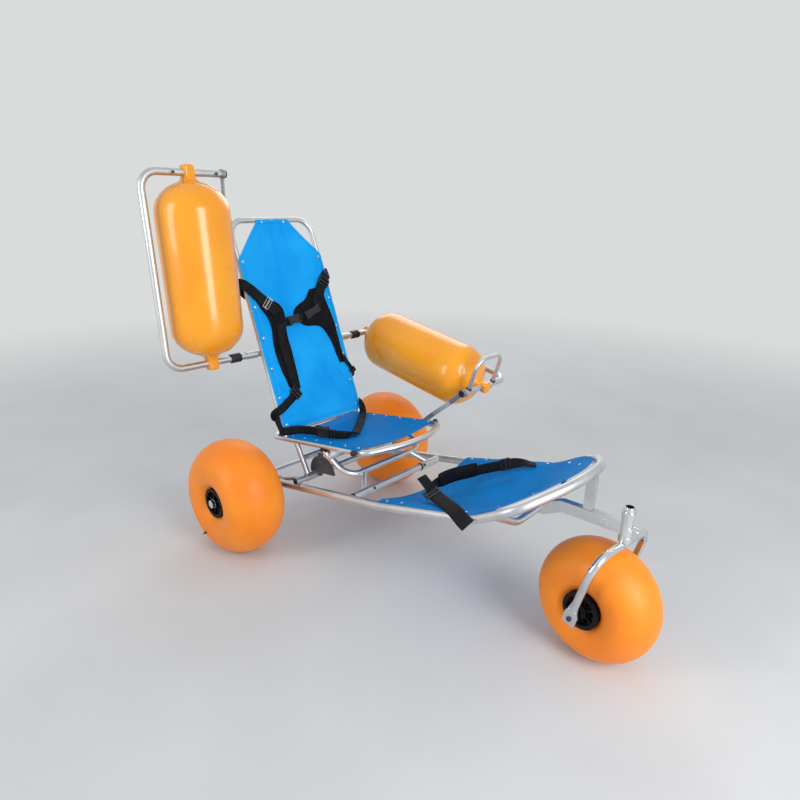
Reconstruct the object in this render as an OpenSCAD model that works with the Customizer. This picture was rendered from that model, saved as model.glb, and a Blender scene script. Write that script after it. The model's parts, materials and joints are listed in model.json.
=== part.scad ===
// Floating beach wheelchair: sling seat on a bent tube base, three balloon wheels
// and two swinging arms that each carry a float.
// Millimetres. X runs forward, Y to the rider's left, Z up; the floor is z = 0.

/* [Wheels] */
// Rear balloon wheel diameter
rear_wheel_d = 490; // [400:1:560]
// Rear balloon wheel width
rear_wheel_w = 260; // [200:1:300]
// Front balloon wheel diameter
front_wheel_d = 420; // [360:1:460]
// Front balloon wheel width
front_wheel_w = 218; // [180:1:240]
// Distance between the middle planes of the rear wheels
rear_track = 932; // [880:1:1000]
// Rear axle to front axle
wheelbase = 1418; // [1350:1:1500]
// Hub barrel diameter
hub_barrel_d = 110; // [90:1:120]
// Hub flange diameter
hub_flange_d = 127; // [120:1:150]
// Width over the hub faces
hub_w = 214; // [190:1:230]
// Tyre wall thickness
tyre_wall = 4; // [3:0.5:6]
// Axle diameter of all wheels
axle_d = 20; // [16:0.5:25]
// Radial running clearance of shafts
run_gap = 0.05; // [0.02:0.01:0.1]
// Steering angle of the front fork at rest
steer_angle = -6.8; // [-45:0.1:45]

/* [Base frame] */
// Base rail tube diameter
rail_d = 33; // [28:0.5:40]
// Wall of the frame tubes
tube_wall = 2.5; // [1.5:0.1:4]
// Half distance between the rail centre lines
rail_y = 276; // [260:1:290]
// Rail end behind the rear axle
rail_tail = 85; // [70:1:120]
// Rail height where the leg rest starts
rail_knee_z = 375; // [340:1:400]
// Distance from the rear axle to where the leg rest starts
rail_knee_x = 660; // [600:1:700]
// Distance from the rear axle to the foot bend
foot_bend_x = 1090; // [1050:1:1110]
// Height of the foot bend
foot_bend_z = 489; // [460:1:500]
// Slope of the foot end
foot_slope = 31; // [25:0.5:35]
// Cross tube diameter
cross_d = 28; // [25:0.5:32]
// Brace tube diameter
brace_d = 16; // [12:0.5:20]
// Seat leg diameter
leg_d = 22; // [18:0.5:25]

/* [Boom and head] */
// Boom section height
boom_h = 40; // [30:1:50]
// Boom section width
boom_w = 26; // [20:1:34]
// Boom height at the head
boom_z = 503; // [490:1:520]
// Steering axis ahead of the front axle
trail = 60; // [40:1:80]
// Head tube outside diameter
head_d = 38; // [34:0.5:44]
// Steering stem diameter
stem_d = 30; // [28:0.5:32]
// Handle socket diameter in the top of the stem
socket_d = 25; // [20:0.5:26]
// Fork tube diameter
fork_d = 26; // [22:0.5:30]
// Half distance between the fork arms
fork_half = 160; // [150:1:175]
// Height of the fork crown
crown_z = 446; // [440:1:460]

/* [Seat and back] */
// Seat and back tube diameter
seat_d = 25; // [22:0.5:30]
// Half distance between the seat side tubes
seat_y = 222; // [205:1:235]
// Seat slope
seat_tilt = 9.4; // [5:0.1:15]
// Height of the seat frame at the rear corner
seat_rear_z = 429.6; // [400:1:450]
// Backrest lean from upright
back_lean = 21.3; // [10:0.1:30]
// Backrest length
back_len = 975; // [850:1:1050]
// Sling sheet thickness
sling_t = 2.5; // [1.5:0.5:4]
// Sag of the seat sling
seat_sag = 18; // [5:1:40]
// Sag of the back sling
back_sag = 8; // [0:1:9]
// Sag of the leg sling
leg_sag = 42; // [20:1:60]
// Webbing width
web_w = 38; // [25:1:50]
// Webbing thickness
web_t = 3; // [1.5:0.5:4]

/* [Arms and floats] */
// Arm tube diameter
arm_d = 28; // [25:0.5:32]
// Arm pivot to front tube
arm_len = 737; // [700:1:760]
// Half width over the outer arm tubes, centre to centre
arm_outer = 645; // [630:1:670]
// Half distance between the inner ends of the front arm tubes
arm_inner = 298; // [292:1:304]
// Height of the pivot along the backrest
arm_pivot_s = 393; // [360:1:430]
// Lean of the raised arm behind upright
raised_lean = 4.9; // [0:0.1:10]
// Slope of the lowered arm below level
lowered_drop = 10.6; // [5:0.1:15]
// Float diameter
float_d = 286; // [260:1:290]
// Float centre line from the middle of the chair
float_y = 456; // [450:1:462]
// Hand loop tube diameter
loop_d = 18; // [16:0.5:22]
// Hand loop height
loop_h = 140; // [110:1:160]
// Start of the float's round shoulder from the arm tube
float_start = 184; // [176:1:196]

/* [Hidden] */
$fn = 64;

axle_z = rear_wheel_d / 2;
front_axle_z = front_wheel_d / 2;
rail_slope = atan((rail_knee_z - axle_z) / rail_knee_x);
leg_slope = atan((foot_bend_z - rail_knee_z) / (foot_bend_x - rail_knee_x));
leg_run = (foot_bend_x - rail_knee_x) / cos(leg_slope);
seat_rear_x = -63;
seat_len = 586;
// place of the back's foot along the seat tube
back_foot_s = 109;
head_x = wheelbase + trail;
// cutting blocks reach past everything
far = wheelbase;
back_foot_x = seat_rear_x + back_foot_s * cos(seat_tilt);
back_foot_z = seat_rear_z + back_foot_s * sin(seat_tilt);
pivot_back = (seat_d + cross_d) / 2;
pivot_x = back_foot_x - arm_pivot_s * sin(back_lean) - pivot_back * cos(back_lean);
pivot_z = back_foot_z + arm_pivot_s * cos(back_lean) - pivot_back * sin(back_lean);
// reach of the front wheel and of the raised arm's hand loop; the origin is midway
front_reach = head_x - trail * cos(steer_angle) + front_wheel_d / 2;
loop_foot = arm_d / 2 + 3;
loop_lean = 7;
rear_reach = pivot_x - arm_len * sin(raised_lean)
  - (loop_h + loop_foot + loop_d / 2) * cos(raised_lean - loop_lean);
origin_x = (front_reach + rear_reach) / 2;
// rear cross tube lies on the rails
rear_cross_s = 198;
rear_cross_x = rear_cross_s - (rail_d + cross_d) / 2 * sin(rail_slope);
rear_cross_z = axle_z + rear_cross_s * tan(rail_slope) + (rail_d + cross_d) / 2 * cos(rail_slope);
front_cross_x = 513;
front_cross_z = axle_z + front_cross_x * tan(rail_slope);
sleeve_d = cross_d + 6;
bridge_x = 448;
bridge_z = 398;
bridge_top_s = 369 * seat_len / 586;
bridge_drop = 11;

function unit(v) = v / norm(v);
function turn(p, i) = acos(unit(p[i] - p[i - 1]) * unit(p[i + 1] - p[i]));
function trim(p, r, i) = (i == 0 || i == len(p) - 1) ? 0 : r[i] * tan(turn(p, i) / 2);
function flip(p) = [for (q = p) [q[0], -q[1], q[2]]];
function on_seat(s, y, h) = [seat_rear_x + s * cos(seat_tilt) - h * sin(seat_tilt), y,
  seat_rear_z + s * sin(seat_tilt) + h * cos(seat_tilt)];
function on_rail(x, y) = [x, y, axle_z + x * tan(rail_slope)];
function on_foot(x, y) = [x, y, foot_bend_z + (x - foot_bend_x) * tan(foot_slope)];

module place() translate([-origin_x, 0, 0]) children();
module seat_place() place() translate([seat_rear_x, 0, seat_rear_z]) rotate([0, -seat_tilt, 0]) children();
module back_place() place() translate([back_foot_x, 0, back_foot_z]) rotate([0, -90 - back_lean, 0]) children();
module leg_place() place() translate([rail_knee_x, 0, rail_knee_z]) rotate([0, -leg_slope, 0]) children();
module foot_place(a) place() translate([foot_bend_x, 0, foot_bend_z]) rotate([0, -a, 0]) children();
module right_arm_place() place() translate([pivot_x, 0, pivot_z]) rotate([0, -90 - raised_lean, 0]) children();
module left_arm_place() place() translate([pivot_x, 0, pivot_z]) rotate([0, lowered_drop, 0]) children();
module steer_place() place() translate([head_x, 0, 0]) rotate([0, 0, steer_angle]) children();

// round bar between two points
module rod(a, b, d) {
  v = b - a;
  translate(a)
    rotate([0, acos(v[2] / norm(v)), atan2(v[1], v[0])])
      cylinder(h = norm(v), d = d);
}
// bend of a round bar at the middle point of three
module bend(a, b, c, r, d) {
  u = unit(b - a);
  v = unit(c - b);
  t = acos(u * v);
  n = unit(v - (u * v) * u);
  s = b - u * r * tan(t / 2);
  o = s + n * r;
  w = cross(-n, u);
  multmatrix([
    [-n[0], u[0], w[0], o[0]],
    [-n[1], u[1], w[1], o[1]],
    [-n[2], u[2], w[2], o[2]],
    [0, 0, 0, 1]])
    rotate_extrude(angle = t) translate([r, 0]) circle(d = d);
}
// bar through a list of points with a bend radius at each inner point
module bent_bar(p, r, d) {
  lap = 1.5;
  n = len(p) - 1;
  for (i = [0 : n - 1]) {
    u = unit(p[i + 1] - p[i]);
    a = i == 0 ? 0 : trim(p, r, i) - lap;
    b = i == n - 1 ? 0 : trim(p, r, i + 1) - lap;
    rod(p[i] + u * a, p[i + 1] - u * b, d);
  }
  for (i = [1 : n - 1])
    bend(p[i - 1], p[i], p[i + 1], r[i], d + 0.2);
}
// hollow tube along the same path; cap is the closed length at the first end
module bent_tube(p, r, d, w, cap = -1) {
  n = len(p) - 1;
  first = p[0] + unit(p[1] - p[0]) * cap;
  last = p[n] + unit(p[n] - p[n - 1]);
  inner = [for (i = [0 : n]) i == 0 ? first : (i == n ? last : p[i])];
  difference() {
    bent_bar(p, r, d);
    bent_bar(inner, r, d - 2 * w);
  }
}
// balloon section: wide arcs at tread and bore, tighter arcs at both sides
module oval(a, b) {
  r = 0.85 * b;
  s = a - r;
  h = (s * s - (b - r) * (b - r)) / (2 * (b - r));
  big = b + h;
  edge = big * s / (big - r);
  for (k = [-1, 1]) translate([0, k * s]) circle(r = r);
  intersection() {
    translate([-h, 0]) circle(r = big);
    translate([h, 0]) circle(r = big);
    translate([-2 * b, -edge]) square([4 * b, 2 * edge]);
  }
}
// solid outside form of a tyre, turned about Y
module tyre_form(d, w) {
  c = (d / 2 + 28.6) / 2;
  rotate([90, 0, 0]) rotate_extrude() difference() {
    translate([c, 0]) oval(w / 2, d / 2 - c);
    translate([-100, -w]) square([100 + hub_barrel_d / 2, 2 * w]);
  }
}
module tyre(d, w) {
  c = (d / 2 + 28.6) / 2;
  rotate([90, 0, 0]) rotate_extrude() difference() {
    translate([c, 0]) oval(w / 2, d / 2 - c);
    translate([c, 0]) oval(w / 2 - tyre_wall, d / 2 - c - tyre_wall);
    translate([-100, -w]) square([100 + hub_barrel_d / 2, 2 * w]);
  }
}
// cylinder along Y from y0 to y1
module across(d, y0, y1) translate([0, y1, 0]) rotate([90, 0, 0]) cylinder(h = y1 - y0, d = d);
module hub(d, w) {
  web = 8;
  difference() {
    union() {
      difference() {
        across(hub_barrel_d, -hub_w / 2, hub_w / 2);
        across(hub_barrel_d - 12, -hub_w / 2 - 1, hub_w / 2 + 1);
      }
      for (k = [-1, 1]) {
        difference() {
          across(hub_flange_d, k * hub_w / 2 - (k + 1) * 12, k * hub_w / 2 - (k - 1) * 12);
          across(hub_barrel_d - 12, -hub_w, hub_w);
        }
        translate([0, k * (hub_w / 2 - 16), 0]) difference() {
          across(hub_barrel_d - 11, -web / 2, web / 2);
          for (i = [0 : 5]) rotate([0, 60 * i, 0]) translate([36, 0, 0]) across(16, -web, web);
        }
        for (i = [0 : 5]) rotate([0, 60 * i + 30, 0])
          translate([18, k * (hub_w / 2 - 9) - 5, -2]) cube([32, 10, 4]);
      }
      across(44, -hub_w / 2, hub_w / 2);
    }
    tyre_form(d, w);
    across(axle_d + 2 * run_gap, -hub_w, hub_w);
  }
}
// rear stub axle for the right side, along -Y from the rail
module axle() {
  outer = rear_track / 2 + hub_w / 2;
  inner = rail_y - rail_d / 2;
  across(axle_d, -outer - 14, -inner + 24);
  across(34, -rear_track / 2 + hub_w / 2 + 0.5, -rail_y - rail_d / 2);
  difference() {
    across(36, -outer - 12, -outer - 0.5);
    for (i = [0 : 5]) rotate([0, 60 * i, 0]) translate([16, -outer - 20, -10]) cube([10, 19, 20]);
  }
}
// sheet with a sagging middle and flat hems, along local X
module sagging(w, h0, sag, t, lift, x0, x1) {
  n = 16;
  y = [for (i = [0 : n]) -h0 + 2 * h0 * i / n];
  dip = [for (v = y) sag * (1 - pow(v / h0, 2))];
  top = concat([[-w, lift + t]], [for (i = [0 : n]) [y[i], lift + t - dip[i]]], [[w, lift + t]]);
  low = concat([[w, lift]], [for (i = [n : -1 : 0]) [y[i], lift - dip[i]]], [[-w, lift]]);
  translate([x0, 0, 0]) rotate([90, 0, 90]) linear_extrude(height = x1 - x0) polygon(concat(top, low));
}
// flat band outline through points, in plan
module band(p, w) {
  for (i = [0 : len(p) - 2]) {
    v = p[i + 1] - p[i];
    translate(p[i]) rotate(atan2(v[1], v[0])) translate([0, -w / 2]) square([norm(v), w]);
  }
  for (q = p) translate(q) circle(d = w - 0.6);
}
module snap_row(p) for (q = p) translate(q) cylinder(h = 2, d = 11);

// base frame
function rail_path(y) = [on_rail(-rail_tail, y), on_rail(rail_knee_x, y),
  [rail_knee_x + 40, y, rail_knee_z + 40 * tan(leg_slope)]];
module rail(y) {
  difference() {
    bent_tube(rail_path(y), [0, 400, 0], rail_d, tube_wall, 10);
    translate([0, 0, axle_z]) across(axle_d, y - rail_d, y + rail_d);
  }
}
module right_rail() color([0.72, 0.73, 0.74]) place() rail(-rail_y);
module left_rail() color([0.72, 0.73, 0.74]) place() rail(rail_y);

loop_corner_x = foot_bend_x + 150;
loop_nose_x = foot_bend_x + 305;
module leg_loop_path(d, hollow) {
  start = rail_knee_x + 40;
  p = [[start, -rail_y, rail_knee_z + 40 * tan(leg_slope)], [foot_bend_x, -rail_y, foot_bend_z],
    on_foot(loop_corner_x, -rail_y), on_foot(loop_nose_x, 0), on_foot(loop_corner_x, rail_y),
    [foot_bend_x, rail_y, foot_bend_z], [start, rail_y, rail_knee_z + 40 * tan(leg_slope)]];
  r = [0, 200, 90, 320, 90, 200, 0];
  if (hollow) bent_tube(p, r, d, tube_wall);
  else bent_bar(p, r, d);
}
module leg_loop() color([0.76, 0.77, 0.78]) place() leg_loop_path(rail_d, true);

bar_s = -60;
bar_off = (rail_d + brace_d) / 2;
module rear_bar() color([0.75, 0.76, 0.77]) place()
  translate([bar_s - bar_off * sin(rail_slope), 0,
    axle_z + bar_s * tan(rail_slope) + bar_off * cos(rail_slope)])
    across(brace_d, -rail_y - 14, rail_y + 14);

module rear_cross_tube() color([0.76, 0.77, 0.78]) place()
  translate([rear_cross_x, 0, rear_cross_z]) {
    difference() {
      across(cross_d, -rail_y - 12, rail_y + 12);
      across(cross_d - 2 * tube_wall, -rail_y - 13, rail_y + 13);
    }
    for (k = [-1, 1])
      translate([0, k * (rail_y + 12), 0]) {
        across(cross_d - 2 * tube_wall, -6, 6);
        across(cross_d, k > 0 ? 0 : -4, k > 0 ? 4 : 0);
      }
  }
module front_cross_tube() color([0.80, 0.81, 0.82]) place() difference() {
  translate([front_cross_x, 0, front_cross_z]) across(cross_d, -rail_y, rail_y);
  translate([front_cross_x, 0, front_cross_z]) across(cross_d - 2 * tube_wall, -rail_y - 1, rail_y + 1);
  for (k = [-1, 1])
    rod(on_rail(front_cross_x - 100, k * rail_y), on_rail(front_cross_x + 100, k * rail_y), rail_d);
}
// brace from the axle's inner end to the rear cross tube
brace_y = rail_y - rail_d / 2 - 12;
module rear_brace(k) difference() {
  union() {
    rod([0, k * brace_y, axle_z], [rear_cross_x, k * brace_y, rear_cross_z], brace_d);
    translate([0, k * brace_y, axle_z]) across(32, -12, 12);
  }
  translate([0, k * brace_y, axle_z]) across(axle_d, -20, 20);
  translate([rear_cross_x, k * brace_y, rear_cross_z]) across(cross_d, -20, 20);
}
module right_rear_brace() color([0.55, 0.56, 0.57]) place() rear_brace(-1);
module left_rear_brace() color([0.55, 0.56, 0.57]) place() rear_brace(1);

// seat legs with sleeves that slip on the cross tubes
rear_leg_s = 176;
module rear_leg(k) {
  top = on_seat(rear_leg_s, k * seat_y, 0);
  low = [rear_cross_x, k * seat_y, rear_cross_z];
  difference() {
    union() {
      rod(low, top, leg_d);
      translate([rear_cross_x, k * 194, rear_cross_z]) across(sleeve_d, -42, 42);
    }
    translate([rear_cross_x, 0, rear_cross_z]) across(cross_d + 0.3, -rail_y, rail_y);
    rod(on_seat(rear_leg_s - 80, k * seat_y, 0), on_seat(rear_leg_s + 80, k * seat_y, 0), seat_d);
  }
}
module right_rear_leg() color([0.84, 0.85, 0.86]) place() rear_leg(-1);
module left_rear_leg() color([0.84, 0.85, 0.86]) place() rear_leg(1);

function leg_point(t, y) = [
  rear_cross_x + (on_seat(rear_leg_s, 0, 0)[0] - rear_cross_x) * t, y,
  rear_cross_z + (on_seat(rear_leg_s, 0, 0)[2] - rear_cross_z) * t];
module leg_brace() color([0.80, 0.81, 0.82]) place() difference() {
  rod(leg_point(0.52, -seat_y), leg_point(0.52, seat_y), brace_d);
  for (k = [-1, 1]) rod(leg_point(0, k * seat_y), leg_point(1, k * seat_y), leg_d);
}

function bridge_path() = [
  on_seat(bridge_top_s, -seat_y, -seat_d / 2 - bridge_drop), [bridge_x, -seat_y, bridge_z],
  [bridge_x, seat_y, bridge_z], on_seat(bridge_top_s, seat_y, -seat_d / 2 - bridge_drop)];
module seat_bridge() color([0.82, 0.83, 0.84]) place()
  bent_tube(bridge_path(), [0, 62, 62, 0], seat_d, tube_wall);

module front_leg(k) {
  y = k * 199;
  difference() {
    union() {
      rod([front_cross_x, y, front_cross_z], [bridge_x, k * 140, bridge_z], leg_d);
      translate([front_cross_x, k * 200, front_cross_z]) across(sleeve_d, -55, 55);
    }
    translate([front_cross_x, 0, front_cross_z]) across(cross_d + 0.3, -rail_y, rail_y);
    translate([bridge_x, 0, bridge_z]) across(seat_d, -seat_y, seat_y);
  }
}
module right_front_leg() color([0.84, 0.85, 0.86]) place() front_leg(-1);
module left_front_leg() color([0.84, 0.85, 0.86]) place() front_leg(1);

// dark sector plate on the right rear sleeve
plate_x = rear_cross_x + 46;
plate_z = rear_cross_z + 18;
module quadrant_plate() color([0.29, 0.29, 0.31]) place() difference() {
  translate([plate_x, -178, plate_z]) rotate([90, -9, 0]) linear_extrude(height = 6) {
    intersection() {
      circle(r = 78);
      translate([-80, 0]) square([160, 90]);
    }
    translate([-70, -14]) square([60, 15]);
    translate([-14, 60]) square([28, 30]);
  }
  translate([rear_cross_x, 0, rear_cross_z]) across(sleeve_d, -rail_y, rail_y);
  for (a = [30, 60, 90, 120]) translate([plate_x, -181, plate_z]) rotate([0, -9 - a, 0])
    translate([62, 0, 0]) across(8, -10, 10);
}
// blocks between the seat tubes and the bridge ends
module seat_saddles() color([0.06, 0.06, 0.07]) place() for (k = [-1, 1]) difference() {
  translate(on_seat(bridge_top_s, k * seat_y, 0)) rotate([0, -seat_tilt, 0])
    translate([-16, -11, -seat_d / 2 - bridge_drop - 2]) cube([32, 22, bridge_drop + 9]);
  rod(on_seat(0, k * seat_y, 0), on_seat(seat_len, k * seat_y, 0), seat_d);
  rod(bridge_path()[k < 0 ? 0 : 3], bridge_path()[k < 0 ? 1 : 2], seat_d);
}

// seat
module seat_frame() color([0.79, 0.80, 0.81]) place() bent_tube(
  [on_seat(seat_len, -seat_y, 0), on_seat(0, -seat_y, 0), on_seat(0, seat_y, 0), on_seat(seat_len, seat_y, 0)],
  [0, 48, 48, 0], seat_d, tube_wall);
bow_corner_s = seat_len + 30;
bow_nose_s = seat_len + 126;
module seat_bow() color([0.82, 0.83, 0.84]) place() bent_tube(
  [on_seat(seat_len, -seat_y, 0), on_seat(bow_corner_s, -seat_y, 0), on_seat(bow_nose_s, 0, 0),
    on_seat(bow_corner_s, seat_y, 0), on_seat(seat_len, seat_y, 0)],
  [0, 42, 330, 42, 0], seat_d, tube_wall);
knob_d = 25;
module seat_knobs() color([0.03, 0.03, 0.03]) place() for (k = [-1, 1]) difference() {
  union() {
    translate(on_seat(seat_len - 12, k * (seat_y + seat_d / 2 + 13), 4)) sphere(d = knob_d);
    translate(on_seat(seat_len - 12, 0, 4)) rotate([90, 0, 0])
      translate([0, 0, k < 0 ? seat_y : -seat_y - seat_d / 2 - 13]) cylinder(h = seat_d / 2 + 13, d = 10);
  }
  rod(on_seat(0, k * seat_y, 0), on_seat(seat_len, k * seat_y, 0), seat_d);
}
// lug under each side tube with the stud that the strut's notch sits on
left_end = [pivot_x + arm_len * cos(lowered_drop), pivot_z - arm_len * sin(lowered_drop)];
lug_y = seat_y + 58;
stud_s = 467.556 * seat_len / 586;
stud_x = on_seat(stud_s, 0, -15.394)[0];
stud_z = on_seat(stud_s, 0, -15.394)[2];
strut_run = left_end - [stud_x, stud_z];
strut_len = norm(strut_run);
strut_drop = atan2(strut_run[1], strut_run[0]);
stud_d = 8;
strut_low_y = lug_y + 5;
strut_t = 5;
module strut_lugs() color([0.70, 0.71, 0.72]) place() for (k = [-1, 1]) difference() {
  union() {
    translate([stud_x, k * (seat_y + lug_y - 14) / 2, stud_z])
      across(24, -(lug_y - seat_y + 14) / 2, (lug_y - seat_y + 14) / 2);
    translate([stud_x, k * (lug_y + 5), stud_z]) across(stud_d, -9, 9);
  }
  rod(on_seat(0, k * seat_y, 0), on_seat(seat_len, k * seat_y, 0), seat_d);
}

hem_gap = 0.2;
module seat_sling() color([0.04, 0.45, 0.80]) difference() {
  seat_place() sagging(seat_y + 10, seat_y - 26, seat_sag, sling_t, seat_d / 2 + hem_gap, 60, seat_len + 6);
  // slots for the back tubes
  place() for (k = [-1, 1]) rod(back_at(0, k * seat_y, 0), back_at(80, k * seat_y, 0), seat_d + 2);
}
// press studs along the sling hems
snap_in = 12;
seat_snaps = [148, 226, 306, 396, 486, 566] * seat_len / 586;
back_snaps = [60, 181, 314, 451, 589, 790] * back_len / 975;
leg_snaps = [43, 116, 404] * leg_run / 444.85;
top_snap_y = 60;
seat_hem = seat_d / 2 + hem_gap + sling_t;
rail_hem = rail_d / 2 + hem_gap + sling_t;
module snaps() color([0.85, 0.86, 0.88]) {
  seat_place() snap_row([for (k = [-1, 1], x = seat_snaps) [x, k * (seat_y - snap_in), seat_hem]]);
  back_place() mirror([0, 0, 1])
    snap_row([for (k = [-1, 1], x = back_snaps) [x, k * (seat_y - snap_in), seat_hem]]);
  back_place() mirror([0, 0, 1]) snap_row([for (k = [-1, 1]) [back_len - 12, k * top_snap_y, seat_hem]]);
  leg_place() snap_row([for (k = [-1, 1], x = leg_snaps) [x, k * (rail_y - snap_in), rail_hem]]);
  foot_place(foot_slope) snap_row([for (k = [-1, 1]) [92, k * (rail_y - snap_in), rail_hem]]);
}

// back
function back_at(s, y, b) = [back_foot_x - s * sin(back_lean) - b * cos(back_lean), y,
  back_foot_z + s * cos(back_lean) - b * sin(back_lean)];
module back_frame() color([0.79, 0.80, 0.81]) place() difference() {
  bent_tube([back_at(0, -seat_y, 0), back_at(back_len, -seat_y, 0), back_at(back_len, seat_y, 0),
    back_at(0, seat_y, 0)], [0, 75, 75, 0], seat_d, tube_wall);
  for (k = [-1, 1]) rod(on_seat(0, k * seat_y, 0), on_seat(seat_len, k * seat_y, 0), seat_d);
}
// cross tube behind the back whose turned ends carry the arms
spigot_y = 318;
module pivot_tube() color([0.83, 0.84, 0.85]) place() translate([pivot_x, 0, pivot_z]) {
  across(cross_d, -spigot_y, spigot_y);
  for (k = [-1, 1]) {
    translate([0, k * (seat_y + 46), 0]) across(cross_d + 6, -26, 26);
    translate([0, k * (spigot_y + 40), 0]) across(arm_d - 2 * tube_wall - 2 * run_gap, -40, 40);
  }
}
back_top_w = 82;
back_shoulder_s = back_len - 175;
back_hem_s = back_len - seat_d + 3;
module back_outline() polygon([[30, -seat_y - 8], [back_shoulder_s, -seat_y - 8], [back_len - 2, -back_top_w],
  [back_len - 2, back_top_w], [back_shoulder_s, seat_y + 8], [30, seat_y + 8]]);
module back_sling() color([0.07, 0.58, 0.92]) back_place() mirror([0, 0, 1]) intersection() {
  union() {
    sagging(seat_y + 10, seat_y - 26, back_sag, sling_t, seat_d / 2 + hem_gap, 28, back_hem_s);
    // fold up to the flat hem over the top tube
    translate([back_hem_s - 3, -seat_y, seat_d / 2 + hem_gap - back_sag])
      cube([3, 2 * seat_y, back_sag + sling_t]);
    translate([back_hem_s - 3, -seat_y, seat_d / 2 + hem_gap]) cube([seat_d, 2 * seat_y, sling_t]);
  }
  translate([0, 0, -far / 2]) linear_extrude(height = far) back_outline();
}

// leg rest sling
module leg_outline() polygon([[rail_knee_x + 12, -rail_y - 6], [loop_corner_x - 52, -rail_y - 6],
  [loop_corner_x - 16, -rail_y + 28], [loop_corner_x + 26, -rail_y + 76], [loop_nose_x - 80, -60],
  [loop_nose_x - 72, 0], [loop_nose_x - 80, 60], [loop_corner_x + 26, rail_y - 76],
  [loop_corner_x - 16, rail_y - 28], [loop_corner_x - 52, rail_y + 6], [rail_knee_x + 12, rail_y + 6]]);
sheet_bend = (leg_slope + foot_slope) / 2;
module leg_sheet(lift, t) {
  difference() {
    leg_place() sagging(rail_y + 8, rail_y - 26, leg_sag, t, rail_d / 2 + hem_gap + lift, 0, leg_run + 40);
    foot_place(sheet_bend) translate([0, -far / 2, -far / 2]) cube(far);
  }
  difference() {
    foot_place(foot_slope)
      sagging(rail_y + 8, rail_y - 26, leg_sag, t, rail_d / 2 + hem_gap + lift, -40, loop_nose_x - foot_bend_x);
    foot_place(sheet_bend) translate([-far, -far / 2, -far / 2]) cube(far);
  }
}
module leg_sling() color([0.04, 0.44, 0.78]) difference() {
  intersection() {
    leg_sheet(0, sling_t);
    place() linear_extrude(height = far) leg_outline();
  }
  place() leg_loop_path(rail_d + 0.4, false);
}

// boom, strut and head
bow_x = foot_bend_x + 88;
bow_z = foot_bend_z - 27;
bow_end_x = foot_bend_x + 62;
module boom_bow_bar(d) bent_bar([on_foot(bow_end_x, -rail_y + 6), [bow_x, -150, bow_z], [bow_x, 150, bow_z],
  on_foot(bow_end_x, rail_y - 6)], [0, 110, 110, 0], d);
module boom_bow() color([0.78, 0.79, 0.80]) place() difference() {
  boom_bow_bar(seat_d);
  for (k = [-1, 1])
    rod(on_foot(foot_bend_x + 30, k * rail_y), on_foot(foot_bend_x + 94, k * rail_y), rail_d);
}
boom_joint_x = head_x - 42;
module boom() color([0.77, 0.78, 0.79]) place() difference() {
  translate([0, boom_w / 2, 0]) rotate([90, 0, 0]) linear_extrude(height = boom_w) polygon([
    [bow_x - 8, bow_z - boom_h / 2 + 2], [bow_x + 20, bow_z - boom_h / 2 + 4],
    [bow_x + 86, boom_z - boom_h / 2 - 3], [boom_joint_x, boom_z - boom_h / 2],
    [boom_joint_x, boom_z + boom_h / 2], [bow_x + 80, boom_z + boom_h / 2 - 3],
    [bow_x - 8, bow_z + boom_h / 2 + 2]]);
  translate([bow_x, 0, bow_z]) across(seat_d, -60, 60);
  translate([0, boom_w / 2 - 3, 0]) rotate([90, 0, 0]) linear_extrude(height = boom_w - 6) polygon([
    [bow_x + 100, boom_z - boom_h / 2 + 3], [boom_joint_x + 1, boom_z - boom_h / 2 + 3],
    [boom_joint_x + 1, boom_z + boom_h / 2 - 3], [bow_x + 100, boom_z + boom_h / 2 - 3]]);
}
strut_x = loop_nose_x - 45;
strut_cut_z = foot_bend_z + (strut_x - 9 - foot_bend_x) * tan(foot_slope) - 2;
module boom_strut() color([0.77, 0.78, 0.79]) place() difference() {
  translate([strut_x - 15, -12.5, boom_z + boom_h / 2]) cube([30, 25, 140]);
  leg_loop_path(rail_d, false);
  translate([strut_x - 60, -40, strut_cut_z]) cube([120, 80, 140]);
}
head_low = crown_z + fork_d / 2 + 8;
head_top = 553;
module head_tube() color([0.70, 0.71, 0.72]) place() difference() {
  union() {
    translate([head_x, 0, head_low]) cylinder(h = head_top - head_low, d = head_d);
    translate([head_x, 0, head_top - 8]) cylinder(h = 8, d = head_d + 5);
    translate([head_x, 0, head_low]) cylinder(h = 8, d = head_d + 5);
    translate([boom_joint_x, -boom_w / 2, boom_z - boom_h / 2]) cube([42, boom_w, boom_h]);
    translate([boom_joint_x - 40, -boom_w / 2 + 3.2, boom_z - boom_h / 2 + 3.2])
      cube([42, boom_w - 6.4, boom_h - 6.4]);
  }
  translate([head_x, 0, head_low - 1]) cylinder(h = head_top, d = stem_d + 2 * run_gap);
}
module boom_bolts() color([0.35, 0.35, 0.37]) place() for (k = [-1, 1], s = [14, 32])
  translate([boom_joint_x - s, k * (boom_w / 2 + 2.5), boom_z]) across(11, -2.5, 2.5);
module tow_eye() color([0.80, 0.81, 0.82]) place() difference() {
  translate([head_x + head_d / 2 + 6, 0, boom_z + 4]) union() {
    rotate([0, 0, -90]) rotate_extrude(angle = 180) translate([15, 0]) circle(d = 5);
    for (k = [-1, 1]) rod([-16, k * 15, 0], [0, k * 15, 0], 5);
  }
  translate([head_x, 0, 400]) cylinder(h = 200, d = head_d);
}

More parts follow.
